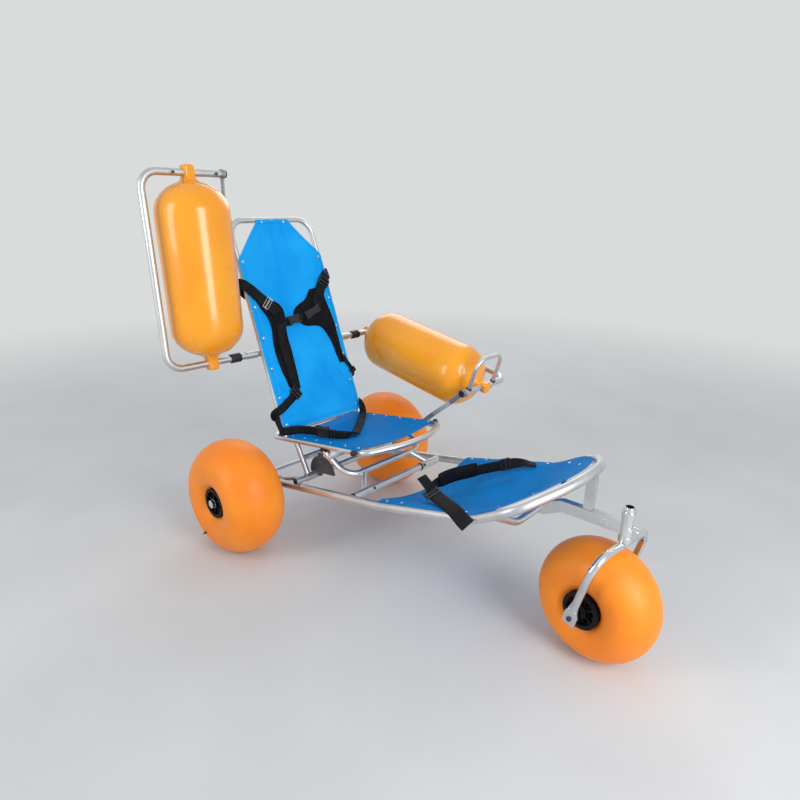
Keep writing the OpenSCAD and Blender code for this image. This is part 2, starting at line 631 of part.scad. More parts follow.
// rear axles and wheels
module right_axle() color([0.75, 0.76, 0.77]) place() translate([0, 0, axle_z]) axle();
module left_axle() color([0.75, 0.76, 0.77]) place() translate([0, 0, axle_z]) mirror([0, 1, 0]) axle();
module right_tyre() color([0.98, 0.55, 0.10]) place()
  translate([0, -rear_track / 2, axle_z]) tyre(rear_wheel_d, rear_wheel_w);
module right_hub() color([0.05, 0.05, 0.06]) place()
  translate([0, -rear_track / 2, axle_z]) hub(rear_wheel_d, rear_wheel_w);
module left_tyre() color([0.98, 0.55, 0.10]) place()
  translate([0, rear_track / 2, axle_z]) tyre(rear_wheel_d, rear_wheel_w);
module left_hub() color([0.05, 0.05, 0.06]) place()
  translate([0, rear_track / 2, axle_z]) hub(rear_wheel_d, rear_wheel_w);

// front fork
rake = atan(trail / (crown_z - front_axle_z));
fork_rise = (crown_z - front_axle_z) / cos(rake);
module fork_place() steer_place() translate([-trail, 0, front_axle_z]) rotate([0, rake, 0]) children();
module fork() color([0.86, 0.87, 0.88]) difference() {
  union() {
    fork_place() bent_bar([[0, -fork_half, 34], [0, -fork_half, fork_rise], [0, fork_half, fork_rise],
      [0, fork_half, 34]], [0, 66, 66, 0], fork_d);
    fork_place() for (k = [-1, 1]) translate([0, k * fork_half + 4.5, 0]) rotate([90, 0, 0])
      linear_extrude(height = 9) {
        circle(d = 46);
        polygon([[-23, 0], [-fork_d / 2, 62], [fork_d / 2, 62], [23, 0]]);
      }
  }
  steer_place() translate([-trail, 0, front_axle_z]) across(axle_d, -fork_half * 2, fork_half * 2);
  steer_place() translate([0, 0, crown_z]) cylinder(h = 200, d = stem_d);
}
stem_top = 578;
socket_len = 70;
module stem() color([0.80, 0.81, 0.82]) steer_place() difference() {
  union() {
    translate([0, 0, crown_z]) cylinder(h = stem_top - crown_z, d = stem_d);
    translate([0, 0, head_low - 8]) cylinder(h = 7.6, d = head_d + 4);
  }
  translate([0, 0, stem_top - socket_len]) cylinder(h = socket_len + 10, d = socket_d);
}
module stem_collar() color([0.78, 0.79, 0.80]) steer_place() difference() {
  union() {
    translate([0, 0, head_top + 0.4]) cylinder(h = 10, d = head_d + 6);
    translate([0, 0, head_top + 10]) cylinder(h = 12, d = head_d);
  }
  translate([0, 0, head_top - 5]) cylinder(h = 60, d = stem_d);
}
module front_axle() color([0.82, 0.83, 0.84]) steer_place() translate([-trail, 0, front_axle_z]) {
  across(axle_d, -fork_half - 16, fork_half + 16);
  for (k = [-1, 1]) {
    translate([0, k * (fork_half + 10), 0]) across(34, -5.5, 5.5);
    translate([0, k * (hub_w / 2 + fork_half) / 2 - k * 2, 0])
      across(30, -(fork_half - hub_w / 2) / 2 + 2.5, (fork_half - hub_w / 2) / 2 - 2.5);
  }
}
module front_tyre() color([0.98, 0.55, 0.10]) steer_place()
  translate([-trail, 0, front_axle_z]) tyre(front_wheel_d, front_wheel_w);
module front_hub() color([0.05, 0.05, 0.06]) steer_place()
  translate([-trail, 0, front_axle_z]) hub(front_wheel_d, front_wheel_w);

// swinging arms, drawn for the right side along local X
module arm_tube() {
  difference() {
    bent_tube([[0, -spigot_y - 2, 0], [0, -arm_outer, 0], [arm_len, -arm_outer, 0], [arm_len, -arm_inner, 0]],
      [0, 66, 66, 0], arm_d, tube_wall);
    for (y = [loop_in, loop_out]) translate([arm_len, -y, 0]) rotate([0, loop_lean, 0])
      translate([0, 0, -30]) cylinder(h = 60, d = 8);
  }
}
// black grip collar, end cap and hand loop washers
module arm_fittings() {
  difference() {
    across(arm_d + 8, -370, -322);
    across(arm_d, -380, -310);
  }
  translate([arm_len, 0, 0]) {
    across(arm_d - 2 * tube_wall, -arm_inner - 10, -arm_inner);
    across(arm_d, -arm_inner, -arm_inner + 5);
    rotate([0, loop_lean, 0]) for (y = [loop_in, loop_out]) translate([0, -y, 0]) difference() {
      cylinder(h = loop_foot, d = loop_d + 7);
      across(arm_d, -20, 20);
      cylinder(h = 60, d = 8);
    }
  }
}
loop_in = 345;
loop_out = 525;
// half section of a float: round shoulders, conical ends, drawn inwards by g
shoulder_r = 0.4545 * float_d;
shoulder_c = float_d / 2 - shoulder_r;
neck_r = 38;
neck_u = 22;
cone_angle = 46;
cone_top = [shoulder_c + shoulder_r * cos(cone_angle), float_start - shoulder_r * sin(cone_angle)];
cone_run = unit(cone_top - [neck_r, neck_u]);
function cone_in(p, g) = p + g * [-cone_run[1], cone_run[0]];
function from_end(m, p) = [p[0], m == 0 ? p[1] : arm_len - p[1]];
module float_section(g) intersection() {
  union() {
    for (m = [0, 1]) {
      low = cone_in([neck_r, neck_u], g);
      outline = [[0, low[1]], low, cone_in(cone_top, g), [shoulder_c + shoulder_r / 2, float_start + 9],
        [0, float_start + 9]];
      polygon([for (q = outline) from_end(m, q)]);
      translate(from_end(m, [shoulder_c, float_start])) circle(r = shoulder_r - g);
    }
    translate([0, float_start]) square([float_d / 2 - g - 0.15, arm_len - 2 * float_start]);
  }
  square([float_d, arm_len]);
}
eye_w = 72;
eye_t = 58;
eye_end = 29;
module float_body() {
  difference() {
    union() {
      translate([0, -float_y, 0]) rotate([0, 90, 0]) rotate_extrude() float_section(0);
      for (x = [0, arm_len]) intersection() {
        translate([x - far / 2, -float_y - eye_w / 2, -eye_t / 2]) cube([far, eye_w, eye_t]);
        translate([x == 0 ? -eye_end : arm_len - neck_u - 30, -float_y, 0]) rotate([0, 90, 0])
          cylinder(h = eye_end + neck_u + 30, r = neck_r);
      }
    }
    for (x = [0, arm_len]) translate([x, 0, 0]) across(arm_d + 0.3, -float_y - 60, -float_y + 60);
    // hollow inside with a vent at the rear eye
    translate([0, -float_y, 0]) rotate([0, 90, 0]) rotate_extrude() float_section(5);
    translate([0, -float_y, 0]) rotate([0, 90, 0]) cylinder(h = 80, d = 10);
  }
}
module hand_loop() translate([arm_len, 0, 0]) rotate([0, loop_lean, 0]) {
  bent_bar([[0, -loop_in, loop_foot], [0, -loop_in, loop_h + loop_foot], [0, -loop_out, loop_h + loop_foot],
    [0, -loop_out, loop_foot]], [0, 52, 52, 0], loop_d);
  for (y = [loop_in, loop_out]) translate([0, -y, 0]) {
    translate([0, 0, -arm_d / 2 - 6]) cylinder(h = arm_d + 12, d = 8);
    difference() {
      translate([0, 0, -arm_d / 2 - 6]) cylinder(h = 10, d = 14);
      across(arm_d, -20, 20);
    }
  }
}
// strut: eye on the front tube, joggled flat bar and an open notch for the stud
module strut() {
  w = 20;
  y1 = arm_inner + 10;
  y0 = strut_low_y + strut_t / 2;
  joggle_a = 0.336 * strut_len;
  joggle_b = 0.709 * strut_len;
  difference() {
    union() {
      translate([0, 0, -w / 2]) linear_extrude(height = w) polygon([
        [10, -y1 - 2.5], [joggle_a, -y1 - 2.5], [joggle_b, -y0 - 2.5], [strut_len + 14, -y0 - 2.5],
        [strut_len + 14, -y0 + 2.5], [joggle_b + 1, -y0 + 2.5], [joggle_a + 1, -y1 + 2.5], [10, -y1 + 2.5]]);
      translate([0, -y1, 0]) across(arm_d + 9, -6, 6);
    }
    translate([0, -y1, 0]) across(arm_d + 2 * run_gap, -30, 30);
    translate([strut_len - stud_d / 2 - 0.3, -y0 - 20, -w]) cube([60, 40, w + stud_d / 2 + 0.3]);
  }
}
hang = -90 + raised_lean;
module right_arm() color([0.83, 0.84, 0.85]) right_arm_place() arm_tube();
module right_arm_fittings() color([0.05, 0.05, 0.06]) right_arm_place() arm_fittings();
module right_float() color([0.99, 0.67, 0.13]) right_arm_place() float_body();
module right_hand_loop() color([0.84, 0.85, 0.86]) right_arm_place() hand_loop();
module right_strut() color([0.45, 0.46, 0.48]) right_arm_place()
  translate([arm_len, 0, 0]) rotate([0, 180 + raised_lean, 0]) strut();
module left_arm() color([0.83, 0.84, 0.85]) left_arm_place() mirror([0, 1, 0]) arm_tube();
module left_arm_fittings() color([0.05, 0.05, 0.06]) left_arm_place() mirror([0, 1, 0]) arm_fittings();
module left_float() color([0.99, 0.67, 0.13]) left_arm_place() mirror([0, 1, 0]) float_body();
module left_hand_loop() color([0.84, 0.85, 0.86]) left_arm_place() mirror([0, 1, 0]) hand_loop();
module left_strut() color([0.45, 0.46, 0.48]) left_arm_place() mirror([0, 1, 0])
  translate([arm_len, 0, 0]) rotate([0, 180 - strut_drop - lowered_drop, 0]) strut();

// webbing and pads, laid on the slings; places are for a 975 mm back and a 586 mm seat
web_lift = 0.4;
pad_t = 6;
strap_w = 50;
function on_back(p) = [for (q = p) [q[0] * back_len / 975, q[1] * seat_y / 222]];
function on_cushion(p) = [for (q = p) [q[0] * seat_len / 586, q[1] * seat_y / 222]];
module back_web() back_place() mirror([0, 0, 1]) intersection() {
  sagging(seat_y + 60, seat_y - 26, back_sag, pad_t, seat_hem + web_lift, 28, back_len);
  translate([0, 0, -far / 2]) linear_extrude(height = far) children();
}
module right_harness() color([0.03, 0.03, 0.07]) back_web() {
  band(on_back([[702, -252], [595, -150]]), strap_w);
  polygon(on_back([[610, -190], [577, -180], [536, -160], [485, -154], [436, -163], [374, -168], [296, -160],
    [254, -150], [214, -143], [200, -90], [247, -86], [357, -82], [423, -84], [474, -81], [525, -71],
    [563, -72], [592, -93], [611, -123], [628, -150]]));
  band(on_back([[206, -116], [152, -184], [126, -236]]), web_w);
}
module left_harness() color([0.03, 0.03, 0.07]) back_web() {
  band(on_back([[700, 226], [625, 140]]), strap_w);
  polygon(on_back([[628, 102], [612, 86], [590, 62], [567, 14], [543, -9], [522, -9], [495, 8], [474, 40],
    [466, 100], [443, 132], [383, 156], [325, 164], [272, 172], [272, 200], [320, 198], [405, 199],
    [466, 198], [520, 192], [569, 182], [616, 180]]));
  band(on_back([[280, 186], [206, 226]]), web_w * 0.6);
}
module chest_buckle() color([0.02, 0.02, 0.03]) back_place() mirror([0, 0, 1]) intersection() {
  sagging(seat_y + 60, seat_y - 26, back_sag, 16, seat_hem + 2 * web_lift + pad_t, 28, back_len);
  translate([0, 0, -far / 2]) linear_extrude(height = far) translate(on_back([[515, -22]])[0]) rotate(8)
    square([40, 124], center = true);
}
// lap belt and its buckle stand on edge on the seat
module seat_web(lift, t) seat_place() intersection() {
  sagging(seat_y + 14, seat_y - 26, seat_sag, t, seat_hem + lift, 60, seat_len);
  translate([0, 0, -far / 2]) linear_extrude(height = far) children();
}
module lap_belt() color([0.03, 0.03, 0.07]) seat_web(web_lift, web_w) {
  band(on_cushion([[132, -198], [160, -166], [213, -148], [242, -149]]), web_t);
  band(on_cushion([[314, -149], [352, -147], [392, -128], [408, -92], [347, -4], [233, 131], [178, 194]]),
    web_t);
}
module lap_buckle() color([0.02, 0.02, 0.03]) seat_web(web_lift, web_w + 8)
  polygon(on_cushion([[243, -156], [313, -156], [313, -142], [243, -142]]));
// strap that stands on edge from rail to rail and loops back over the calves
calf_path = [[362, rail_y + 8], [328, 216], [279, 150], [214, 70], [170, 0], [152, -80], [168, -150],
  [248, -232], [336, -rail_y - 4], [350, -rail_y - 20]];
calf_lift = rail_hem + web_lift;
module calf_strap() color([0.03, 0.03, 0.07]) leg_place() {
  translate([0, 0, calf_lift]) linear_extrude(height = web_w) band(calf_path, web_t);
  translate([0, 0, calf_lift - 6]) linear_extrude(height = web_w + 12)
    band([[209, 64], [170, 0], [156, -60]], 10);
  // slider near the right rail and the free end outside it
  translate([168, -150, calf_lift + web_w / 2]) rotate([0, 0, -46]) cube([62, 14, web_w + 8], center = true);
  translate([0, -rail_y - 20 + web_t / 2, 0]) rotate([90, 0, 0]) linear_extrude(height = web_t)
    polygon([[350, calf_lift], [350, calf_lift + web_w], [446, calf_lift], [428, calf_lift - web_w]]);
}

right_rail();
left_rail();
leg_loop();
rear_bar();
rear_cross_tube();
front_cross_tube();
right_rear_brace();
left_rear_brace();
right_rear_leg();
left_rear_leg();
leg_brace();
right_front_leg();
left_front_leg();
seat_bridge();
quadrant_plate();
seat_saddles();
seat_frame();
seat_bow();
seat_knobs();
strut_lugs();
seat_sling();
snaps();
back_frame();
pivot_tube();
back_sling();
leg_sling();
boom_bow();
boom();
boom_strut();
head_tube();
boom_bolts();
tow_eye();
right_axle();
left_axle();
right_harness();
left_harness();
chest_buckle();
lap_belt();
lap_buckle();
calf_strap();
right_tyre();
right_hub();
left_tyre();
left_hub();
fork();
stem();
stem_collar();
front_axle();
front_tyre();
front_hub();
right_arm();
right_arm_fittings();
right_float();
right_hand_loop();
right_strut();
left_arm();
left_arm_fittings();
left_float();
left_hand_loop();
left_strut();
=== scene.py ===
import json
import math

import bmesh
import bpy
from mathutils import Matrix, Vector, noise


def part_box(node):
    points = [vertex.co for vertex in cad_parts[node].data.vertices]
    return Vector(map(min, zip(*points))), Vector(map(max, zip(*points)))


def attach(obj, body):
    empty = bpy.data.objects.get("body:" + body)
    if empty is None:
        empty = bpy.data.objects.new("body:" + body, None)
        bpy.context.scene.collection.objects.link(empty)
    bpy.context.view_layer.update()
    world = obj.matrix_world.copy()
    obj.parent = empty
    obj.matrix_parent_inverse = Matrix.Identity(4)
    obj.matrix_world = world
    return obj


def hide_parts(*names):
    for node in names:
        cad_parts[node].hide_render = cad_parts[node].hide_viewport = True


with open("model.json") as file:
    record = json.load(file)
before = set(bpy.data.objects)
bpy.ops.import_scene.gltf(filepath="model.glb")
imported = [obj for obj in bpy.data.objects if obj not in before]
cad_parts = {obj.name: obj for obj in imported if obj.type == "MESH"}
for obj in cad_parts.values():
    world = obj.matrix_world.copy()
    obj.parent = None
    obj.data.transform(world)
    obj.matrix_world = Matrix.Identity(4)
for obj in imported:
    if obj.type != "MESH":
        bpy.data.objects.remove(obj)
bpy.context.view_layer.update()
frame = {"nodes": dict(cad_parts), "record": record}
nodes = frame["nodes"]
slotOf = {part["node"]: part["material_slot"] for part in frame["record"]["subparts"]}
scene = bpy.context.scene
scene.view_settings.view_transform = "Standard"
bpy.ops.object.select_all(action="DESELECT")
print("frame loaded:", len(nodes), "nodes")

# where the chair's planes lie, millimetres from the rear axle
chair = {
    "axleToMiddle": 638.33, "seatTilt": 9.4, "seatRear": (-63.0, 429.6), "backLean": 21.3,
    "backFoot": (44.536, 447.4), "legRear": (660.0, 375.0), "legTilt": 14.85, "footTilt": 31.0,
    "footBend": (1062, 1118),
    # side tubes: distance from the middle, radius of the cloth bent round them
    "seatTube": (222, 13.6), "legTube": (276, 17.6)}


def rowPoint(x, y, z):  # millimetres from the axle to metres in the shared frame
    return Vector(((x - chair["axleToMiddle"]) / 1000, y / 1000, z / 1000))


def onSeat(s, y, lift):  # s runs forward along the seat tubes, lift is above their centres
    a = math.radians(chair["seatTilt"])
    x, z = chair["seatRear"]
    return rowPoint(x + s * math.cos(a) - lift * math.sin(a), y, z + s * math.sin(a) + lift * math.cos(a))


def onBack(s, y, lift):  # s runs up the back tubes, lift is in front of their centres
    a = math.radians(chair["backLean"])
    x, z = chair["backFoot"]
    return rowPoint(x - s * math.sin(a) + lift * math.cos(a), y, z + s * math.cos(a) + lift * math.sin(a))


def onLeg(x, y, lift):  # x is along the floor, the foot part bends up between two places
    low, high = (math.tan(math.radians(chair[key])) for key in ("legTilt", "footTilt"))
    x0, z0 = chair["legRear"]
    start, end = chair["footBend"]
    run = end - start
    t = min(max(x - start, 0), run)
    z = z0 + (x - x0) * low + (high - low) * (t * t / (2 * run) + max(x - end, 0))
    slope = math.atan(low + (high - low) * t / run)
    return rowPoint(x - lift * math.sin(slope), y, z + lift * math.cos(slope))


backOut = onBack(0, 0, 10) - onBack(0, 0, 0)  # out of the back, towards the rider


def smoothStep(a, b, x):
    t = min(1.0, max(0.0, (x - a) / (b - a)))
    return t * t * (3 - 2 * t)


def between(table, x):  # straight lines between listed places
    for (a, p), (b, q) in zip(table, table[1:]):
        if x <= b:
            return p + (q - p) * max(0.0, (x - a)) / (b - a)
    return table[-1][1]


# camera at the photograph's place
photoView = {
    "place": (1.411322, -1.685652, 1.459612), "yaw": 0.738668671, "pitch": 0.325816448,
    "roll": 0.0203602379, "focal": 595.7875, "across": 800, "sensor": 36}
cameraData = bpy.data.cameras.new("photoCamera")
cameraData.sensor_width = photoView["sensor"]
cameraData.lens = photoView["focal"] / photoView["across"] * photoView["sensor"]
camera = bpy.data.objects.new("photoCamera", cameraData)
scene.collection.objects.link(camera)
camera.matrix_world = (Matrix.Translation(photoView["place"]) @ Matrix.Rotation(photoView["yaw"], 4, "Z")
                       @ Matrix.Rotation(math.pi / 2 - photoView["pitch"], 4, "X")
                       @ Matrix.Rotation(photoView["roll"], 4, "Z"))
scene.camera = camera


# small helpers for materials
def colour(code):  # a hex colour as it is seen, to linear light
    parts = [int(code[i:i + 2], 16) / 255 for i in (1, 3, 5)]
    return [p / 12.92 if p <= 0.04045 else ((p + 0.055) / 1.055) ** 2.4 for p in parts] + [1.0]


def addNode(tree, kind, inputs=None, **settings):
    node = tree.nodes.new(kind)
    for key, value in settings.items():
        setattr(node, key, value)
    for key, value in (inputs or {}).items():
        if isinstance(value, bpy.types.NodeSocket):
            tree.links.new(value, node.inputs[key])
        else:
            node.inputs[key].default_value = value
    return node


def feed(shader, key, output):
    shader.id_data.links.new(output, shader.inputs[key])


def newMaterial(name, **sockets):
    material = bpy.data.materials.new(name)
    material.use_nodes = True
    shader = material.node_tree.nodes["Principled BSDF"]
    for key, value in sockets.items():
        shader.inputs[key.replace("_", " ")].default_value = value
    return material, material.node_tree, shader


def maths(tree, kind, *values):
    return addNode(tree, "ShaderNodeMath", dict(enumerate(values)), operation=kind).outputs[0]


def objectNoise(tree, scale, detail=2.0, rough=0.5):
    place = addNode(tree, "ShaderNodeTexCoord").outputs["Object"]
    return addNode(tree, "ShaderNodeTexNoise", {"Vector": place, "Scale": scale, "Detail": detail,
                                                "Roughness": rough}).outputs["Fac"]


def waves(tree, scale, way, **inputs):  # bands across the UV map, which is in metres
    flat = addNode(tree, "ShaderNodeTexCoord").outputs["UV"]
    return addNode(tree, "ShaderNodeTexWave", {"Vector": flat, "Scale": scale, **inputs},
                   bands_direction=way).outputs["Fac"]


def mixed(tree, factor, first, second):  # inputs 6 and 7 are the node's two colours
    return addNode(tree, "ShaderNodeMix", {"Factor": factor, 6: first, 7: second},
                   data_type="RGBA").outputs[2]


def twoTone(tree, factor, dark, light):
    return mixed(tree, factor, colour(dark), colour(light))


def remap(tree, value, low, high, fromLow=0.3, fromHigh=0.7):
    return addNode(tree, "ShaderNodeMapRange", {"Value": value, "From Min": fromLow, "From Max": fromHigh,
                                                "To Min": low, "To Max": high}).outputs["Result"]


def bump(tree, shader, height, distance, strength, before=None):
    inputs = {"Height": height, "Distance": distance, "Strength": strength}
    if before is not None:
        inputs["Normal"] = before
    normal = addNode(tree, "ShaderNodeBump", inputs).outputs["Normal"]
    feed(shader, "Normal", normal)
    return normal


def cloudyTone(tree, shader, scale, detail, dark, light):  # soft change between two near tones
    cloud = remap(tree, objectNoise(tree, scale, detail), 0, 1)
    feed(shader, "Base Color", twoTone(tree, cloud, dark, light))


def metalFinish(name, dark, light, roughLow, roughHigh, grain):
    material, tree, shader = newMaterial(name, Metallic=1.0)
    cloudyTone(tree, shader, 7.0, 4.0, dark, light)
    fine = objectNoise(tree, grain, 3.0, 0.6)
    feed(shader, "Roughness", remap(tree, fine, roughLow, roughHigh))
    bump(tree, shader, fine, 0.00004, 0.35)
    return material


def mouldedPlastic(name, dark, light, roughLow, roughHigh, grain, depth, **sockets):
    material, tree, shader = newMaterial(name, **sockets)
    cloudyTone(tree, shader, 5.0, 3.0, dark, light)
    scuff = objectNoise(tree, 38.0, 5.0, 0.65)
    feed(shader, "Roughness", remap(tree, scuff, roughLow, roughHigh))
    bump(tree, shader, objectNoise(tree, grain), depth, 0.5)
    return material


# satin anodised tube: cloudy grey with a fine drawn grain about 1 mm across
satinAluminium = metalFinish("satinAluminium", "#C6C8CA", "#DEDFE0", 0.34, 0.48, 900.0)
# polished stainless of the fork, stem and axles
polishedStainless = metalFinish("polishedStainless", "#C9CCCF", "#E6E8EA", 0.07, 0.20, 500.0)
# bare grey metal of the braces and flat struts
greyMetal = metalFinish("greyMetal", "#94979B", "#AEB1B4", 0.34, 0.50, 700.0)
# nickel plated press studs
nickelPlate = metalFinish("nickelPlate", "#C4C7CA", "#E2E4E6", 0.12, 0.24, 1500.0)
# dark paint of the sector plate and the bolts
darkPaint = mouldedPlastic("darkPaint", "#3A3B3F", "#4A4B50", 0.32, 0.48, 700.0, 0.0002)
# moulded black plastic of knobs, collars and buckles
blackPlastic = mouldedPlastic("blackPlastic", "#111214", "#1D1E21", 0.34, 0.50, 1400.0, 0.00012)
# moulded black hubs
hubPlastic = mouldedPlastic("hubPlastic", "#040408", "#0A0A10", 0.46, 0.62, 900.0, 0.0002,
                            Specular_IOR_Level=0.22)
# soft orange vinyl of the balloon tyres, faint mottling and a matt skin
orangeVinyl = mouldedPlastic("orangeVinyl", "#F58114", "#FC9423", 0.40, 0.54, 260.0, 0.0005,
                             Specular_IOR_Level=0.4, Sheen_Weight=0.05, Sheen_Roughness=0.4)
# glossy amber polyethylene of the floats, faint orange peel about 8 mm across
amberPolyethylene = mouldedPlastic("amberPolyethylene", "#F69A0C", "#FCA916", 0.24, 0.30, 120.0, 0.00004,
                                   Specular_IOR_Level=0.45, Coat_Weight=0.45, Coat_Roughness=0.06)

# the sewn seam, metres: distance from the edge, half width, pitch and length of a stitch
seam = {"away": 0.0165, "half": 0.0009, "pitch": 0.0065, "stitch": 0.0044, "thread": "#0A6DB8"}


def coatedCloth(name, dark, light, threads=349.0):  # plain weave of 0.9 mm threads with a thin coat
    material, tree, shader = newMaterial(name, Specular_IOR_Level=0.06)
    cloudy = objectNoise(tree, 6.0, 4.0)
    base = twoTone(tree, remap(tree, cloudy, 0, 1), dark, light)
    away, along = (addNode(tree, "ShaderNodeAttribute", attribute_name=key).outputs["Fac"]
                   for key in ("hemAway", "hemAlong"))
    near = maths(tree, "COMPARE", away, seam["away"], seam["half"])
    dash = maths(tree, "LESS_THAN", maths(tree, "MODULO", along, seam["pitch"]), seam["stitch"])
    stitch = maths(tree, "MULTIPLY", near, dash)
    feed(shader, "Base Color", mixed(tree, stitch, base, colour(seam["thread"])))
    feed(shader, "Roughness", remap(tree, cloudy, 0.52, 0.66))
    weave = maths(tree, "ADD", waves(tree, threads, "X"), waves(tree, threads, "Y"))
    first = bump(tree, shader, weave, 0.0001, 0.35)
    bump(tree, shader, stitch, 0.0005, 0.8, first)
    return material


# one coated fabric in two copies: the seat and leg copy is painted darker than the back cloth as painted
# shade
blueBackCloth = coatedCloth("blueBackCloth", "#0C9AF0", "#1EADFB")
blueSeatClothPaintedShade = coatedCloth("blueSeatClothPaintedShade", "#0275C2", "#0684D2")


def wovenBand(name, dark, light, rib, across, waveUnit=0.314):  # ribbed webbing, rib and across in metres
    material, tree, shader = newMaterial(name, Specular_IOR_Level=0.2, Sheen_Weight=0.05,
                                         Sheen_Roughness=0.4)
    ribs = waves(tree, waveUnit / rib, "X", Distortion=0.6, Detail=1.0)
    weave = maths(tree, "MULTIPLY", ribs, waves(tree, waveUnit / across, "Y"))
    feed(shader, "Base Color", twoTone(tree, weave, dark, light))
    feed(shader, "Roughness", remap(tree, objectNoise(tree, 30.0, 4.0), 0.55, 0.75))
    bump(tree, shader, weave, 0.0005, 0.7)
    return material


navyWebbing = wovenBand("navyWebbing", "#05060C", "#10131F", 0.0024, 0.004)


def spacerMesh(name, dark, light):  # open knitted cover of the pads, cells about 2.5 mm
    material, tree, shader = newMaterial(name, Specular_IOR_Level=0.15, Sheen_Weight=0.06,
                                         Sheen_Roughness=0.4)
    flat = addNode(tree, "ShaderNodeTexCoord").outputs["UV"]
    cells = addNode(tree, "ShaderNodeTexVoronoi", {"Vector": flat, "Scale": 400.0,
                                                   "Randomness": 0.25}).outputs["Distance"]
    feed(shader, "Base Color", twoTone(tree, cells, dark, light))
    feed(shader, "Roughness", remap(tree, objectNoise(tree, 24.0, 4.0), 0.6, 0.85))
    bump(tree, shader, cells, 0.0006, 0.6)
    return material


padCover = spacerMesh("padCover", "#04050A", "#0C0E19")

finishFor = {
    "satin_tube": satinAluminium, "grey_metal": greyMetal, "dark_plate": darkPaint,
    "polished_steel": polishedStainless, "black_plastic": blackPlastic, "hub_plastic": hubPlastic,
    "orange_balloon": orangeVinyl, "amber_float": amberPolyethylene, "snap_metal": nickelPlate,
    "back_cloth": blueBackCloth, "seat_cloth": blueSeatClothPaintedShade, "navy_webbing": navyWebbing}
for name, node in nodes.items():
    node.data.materials.clear()
    node.data.materials.append(finishFor[slotOf[name]])
print("materials set on the packed nodes")


# mesh helpers
def makePiece(name, verts, faces, material, uvs=None):
    mesh = bpy.data.meshes.new(name)
    mesh.from_pydata([tuple(v) for v in verts], [], faces)
    if uvs:
        layer = mesh.uv_layers.new(name="UVMap")
        for loop in mesh.loops:
            layer.data[loop.index].uv = uvs[loop.vertex_index]
    mesh.materials.append(material)
    piece = bpy.data.objects.new(name, mesh)
    scene.collection.objects.link(piece)
    return piece


def makeActive(piece):
    bpy.ops.object.select_all(action="DESELECT")
    piece.select_set(True)
    bpy.context.view_layer.objects.active = piece


def applyModifier(piece, kind, **settings):
    makeActive(piece)
    modifier = piece.modifiers.new(kind.lower(), kind)
    for key, value in settings.items():
        setattr(modifier, key, value)
    bpy.ops.object.modifier_apply(modifier=modifier.name)


def smoothPiece(piece, angle=40):
    makeActive(piece)
    bpy.ops.object.shade_smooth_by_angle(angle=math.radians(angle))


def outward(piece):  # merges doubles and turns the faces out
    makeActive(piece)
    bpy.ops.object.mode_set(mode="EDIT")
    bpy.ops.mesh.select_all(action="SELECT")
    bpy.ops.mesh.remove_doubles(threshold=1e-6)
    bpy.ops.mesh.normals_make_consistent(inside=False)
    bpy.ops.object.mode_set(mode="OBJECT")


def closedPiece(name, verts, faces, material, uvs, angle):
    piece = makePiece(name, verts, faces, material, uvs)
    outward(piece)
    smoothPiece(piece, angle)
    return piece


def settle(piece, body, stands=()):
    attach(piece, body)
    if stands:
        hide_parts(*stands)
    return piece


def smoothLine(points, step, dense=24):  # an even line through the points, as a bent band takes them
    points = [Vector(p) for p in points]
    padded = [points[0] * 2 - points[1]] + points + [points[-1] * 2 - points[-2]]
    fine = []
    for i in range(1, len(padded) - 2):
        a, b, c, d = padded[i - 1:i + 3]
        for k in range(dense):
            t = k / dense
            fine.append(0.5 * (2 * b + (c - a) * t + (2 * a - 5 * b + 4 * c - d) * t * t
                               + (3 * b - a - 3 * c + d) * t ** 3))
    fine.append(points[-1])
    total = sum((q - p).length for p, q in zip(fine, fine[1:]))
    count = max(2, round(total / step))
    line, run, k = [fine[0]], 0.0, 0
    for i in range(1, count):
        target = total * i / count
        while k < len(fine) - 2 and run + (fine[k + 1] - fine[k]).length < target:
            run += (fine[k + 1] - fine[k]).length
            k += 1
        part = (fine[k + 1] - fine[k]).length or 1.0
        line.append(fine[k].lerp(fine[k + 1], (target - run) / part))
    return line + [fine[-1]]


def ringFaces(n, m, closed=False):  # faces between n rings of m points, with caps on an open run
    faces = []
    for i in range(n if closed else n - 1):
        near, far = i * m, (i + 1) % n * m
        for k in range(m):
            j = (k + 1) % m
            faces.append((near + k, near + j, far + j, far + k))
    if not closed:
        faces += [tuple(range(m - 1, -1, -1)), tuple(range((n - 1) * m, n * m))]
    return faces


def bandAlong(name, line, across, width, thick, material, closed=False):  # woven band with soft edges
    half, t = width / 2, thick / 2
    top = [(-half + t * 0.7, t * 0.85), (-half * 0.5, t), (0, t), (half * 0.5, t),
           (half - t * 0.7, t * 0.85)]
    section = [(-half, 0)] + top + [(half, 0)] + [(a, -h) for a, h in reversed(top)]
    verts, uvs, run, n = [], [], 0.0, len(line)
    for i, p in enumerate(line):
        ahead = line[(i + 1) % n] if closed else line[min(i + 1, n - 1)]
        behind = line[i - 1] if closed or i else line[0]
        along = (ahead - behind).normalized()
        side = (across[i] - along * across[i].dot(along)).normalized()
        up = along.cross(side)
        run += (p - line[i - 1]).length if i else 0.0
        for a, h in section:
            verts.append(p + side * a + up * h)
            uvs.append((run, a))
    return closedPiece(name, verts, ringFaces(n, len(section), closed), material, uvs, 50)


def ringBand(middle, radius, wide, proud, sides):  # black ring round a cross tube
    around = [2 * math.pi * k / sides for k in range(sides)]
    line = [middle + Vector((math.cos(a), 0, math.sin(a))) * (radius + proud / 2) / 1000 for a in around]
    return bandAlong("ring", line, [Vector((0, 1, 0))] * sides, wide / 1000, proud / 1000, blackPlastic,
                     closed=True)


def joinPieces(name, pieces):
    bpy.ops.object.select_all(action="DESELECT")
    for piece in pieces:
        piece.select_set(True)
    bpy.context.view_layer.objects.active = pieces[0]
    bpy.ops.object.join()
    pieces[0].name = name
    pieces[0].data.name = name
    return pieces[0]


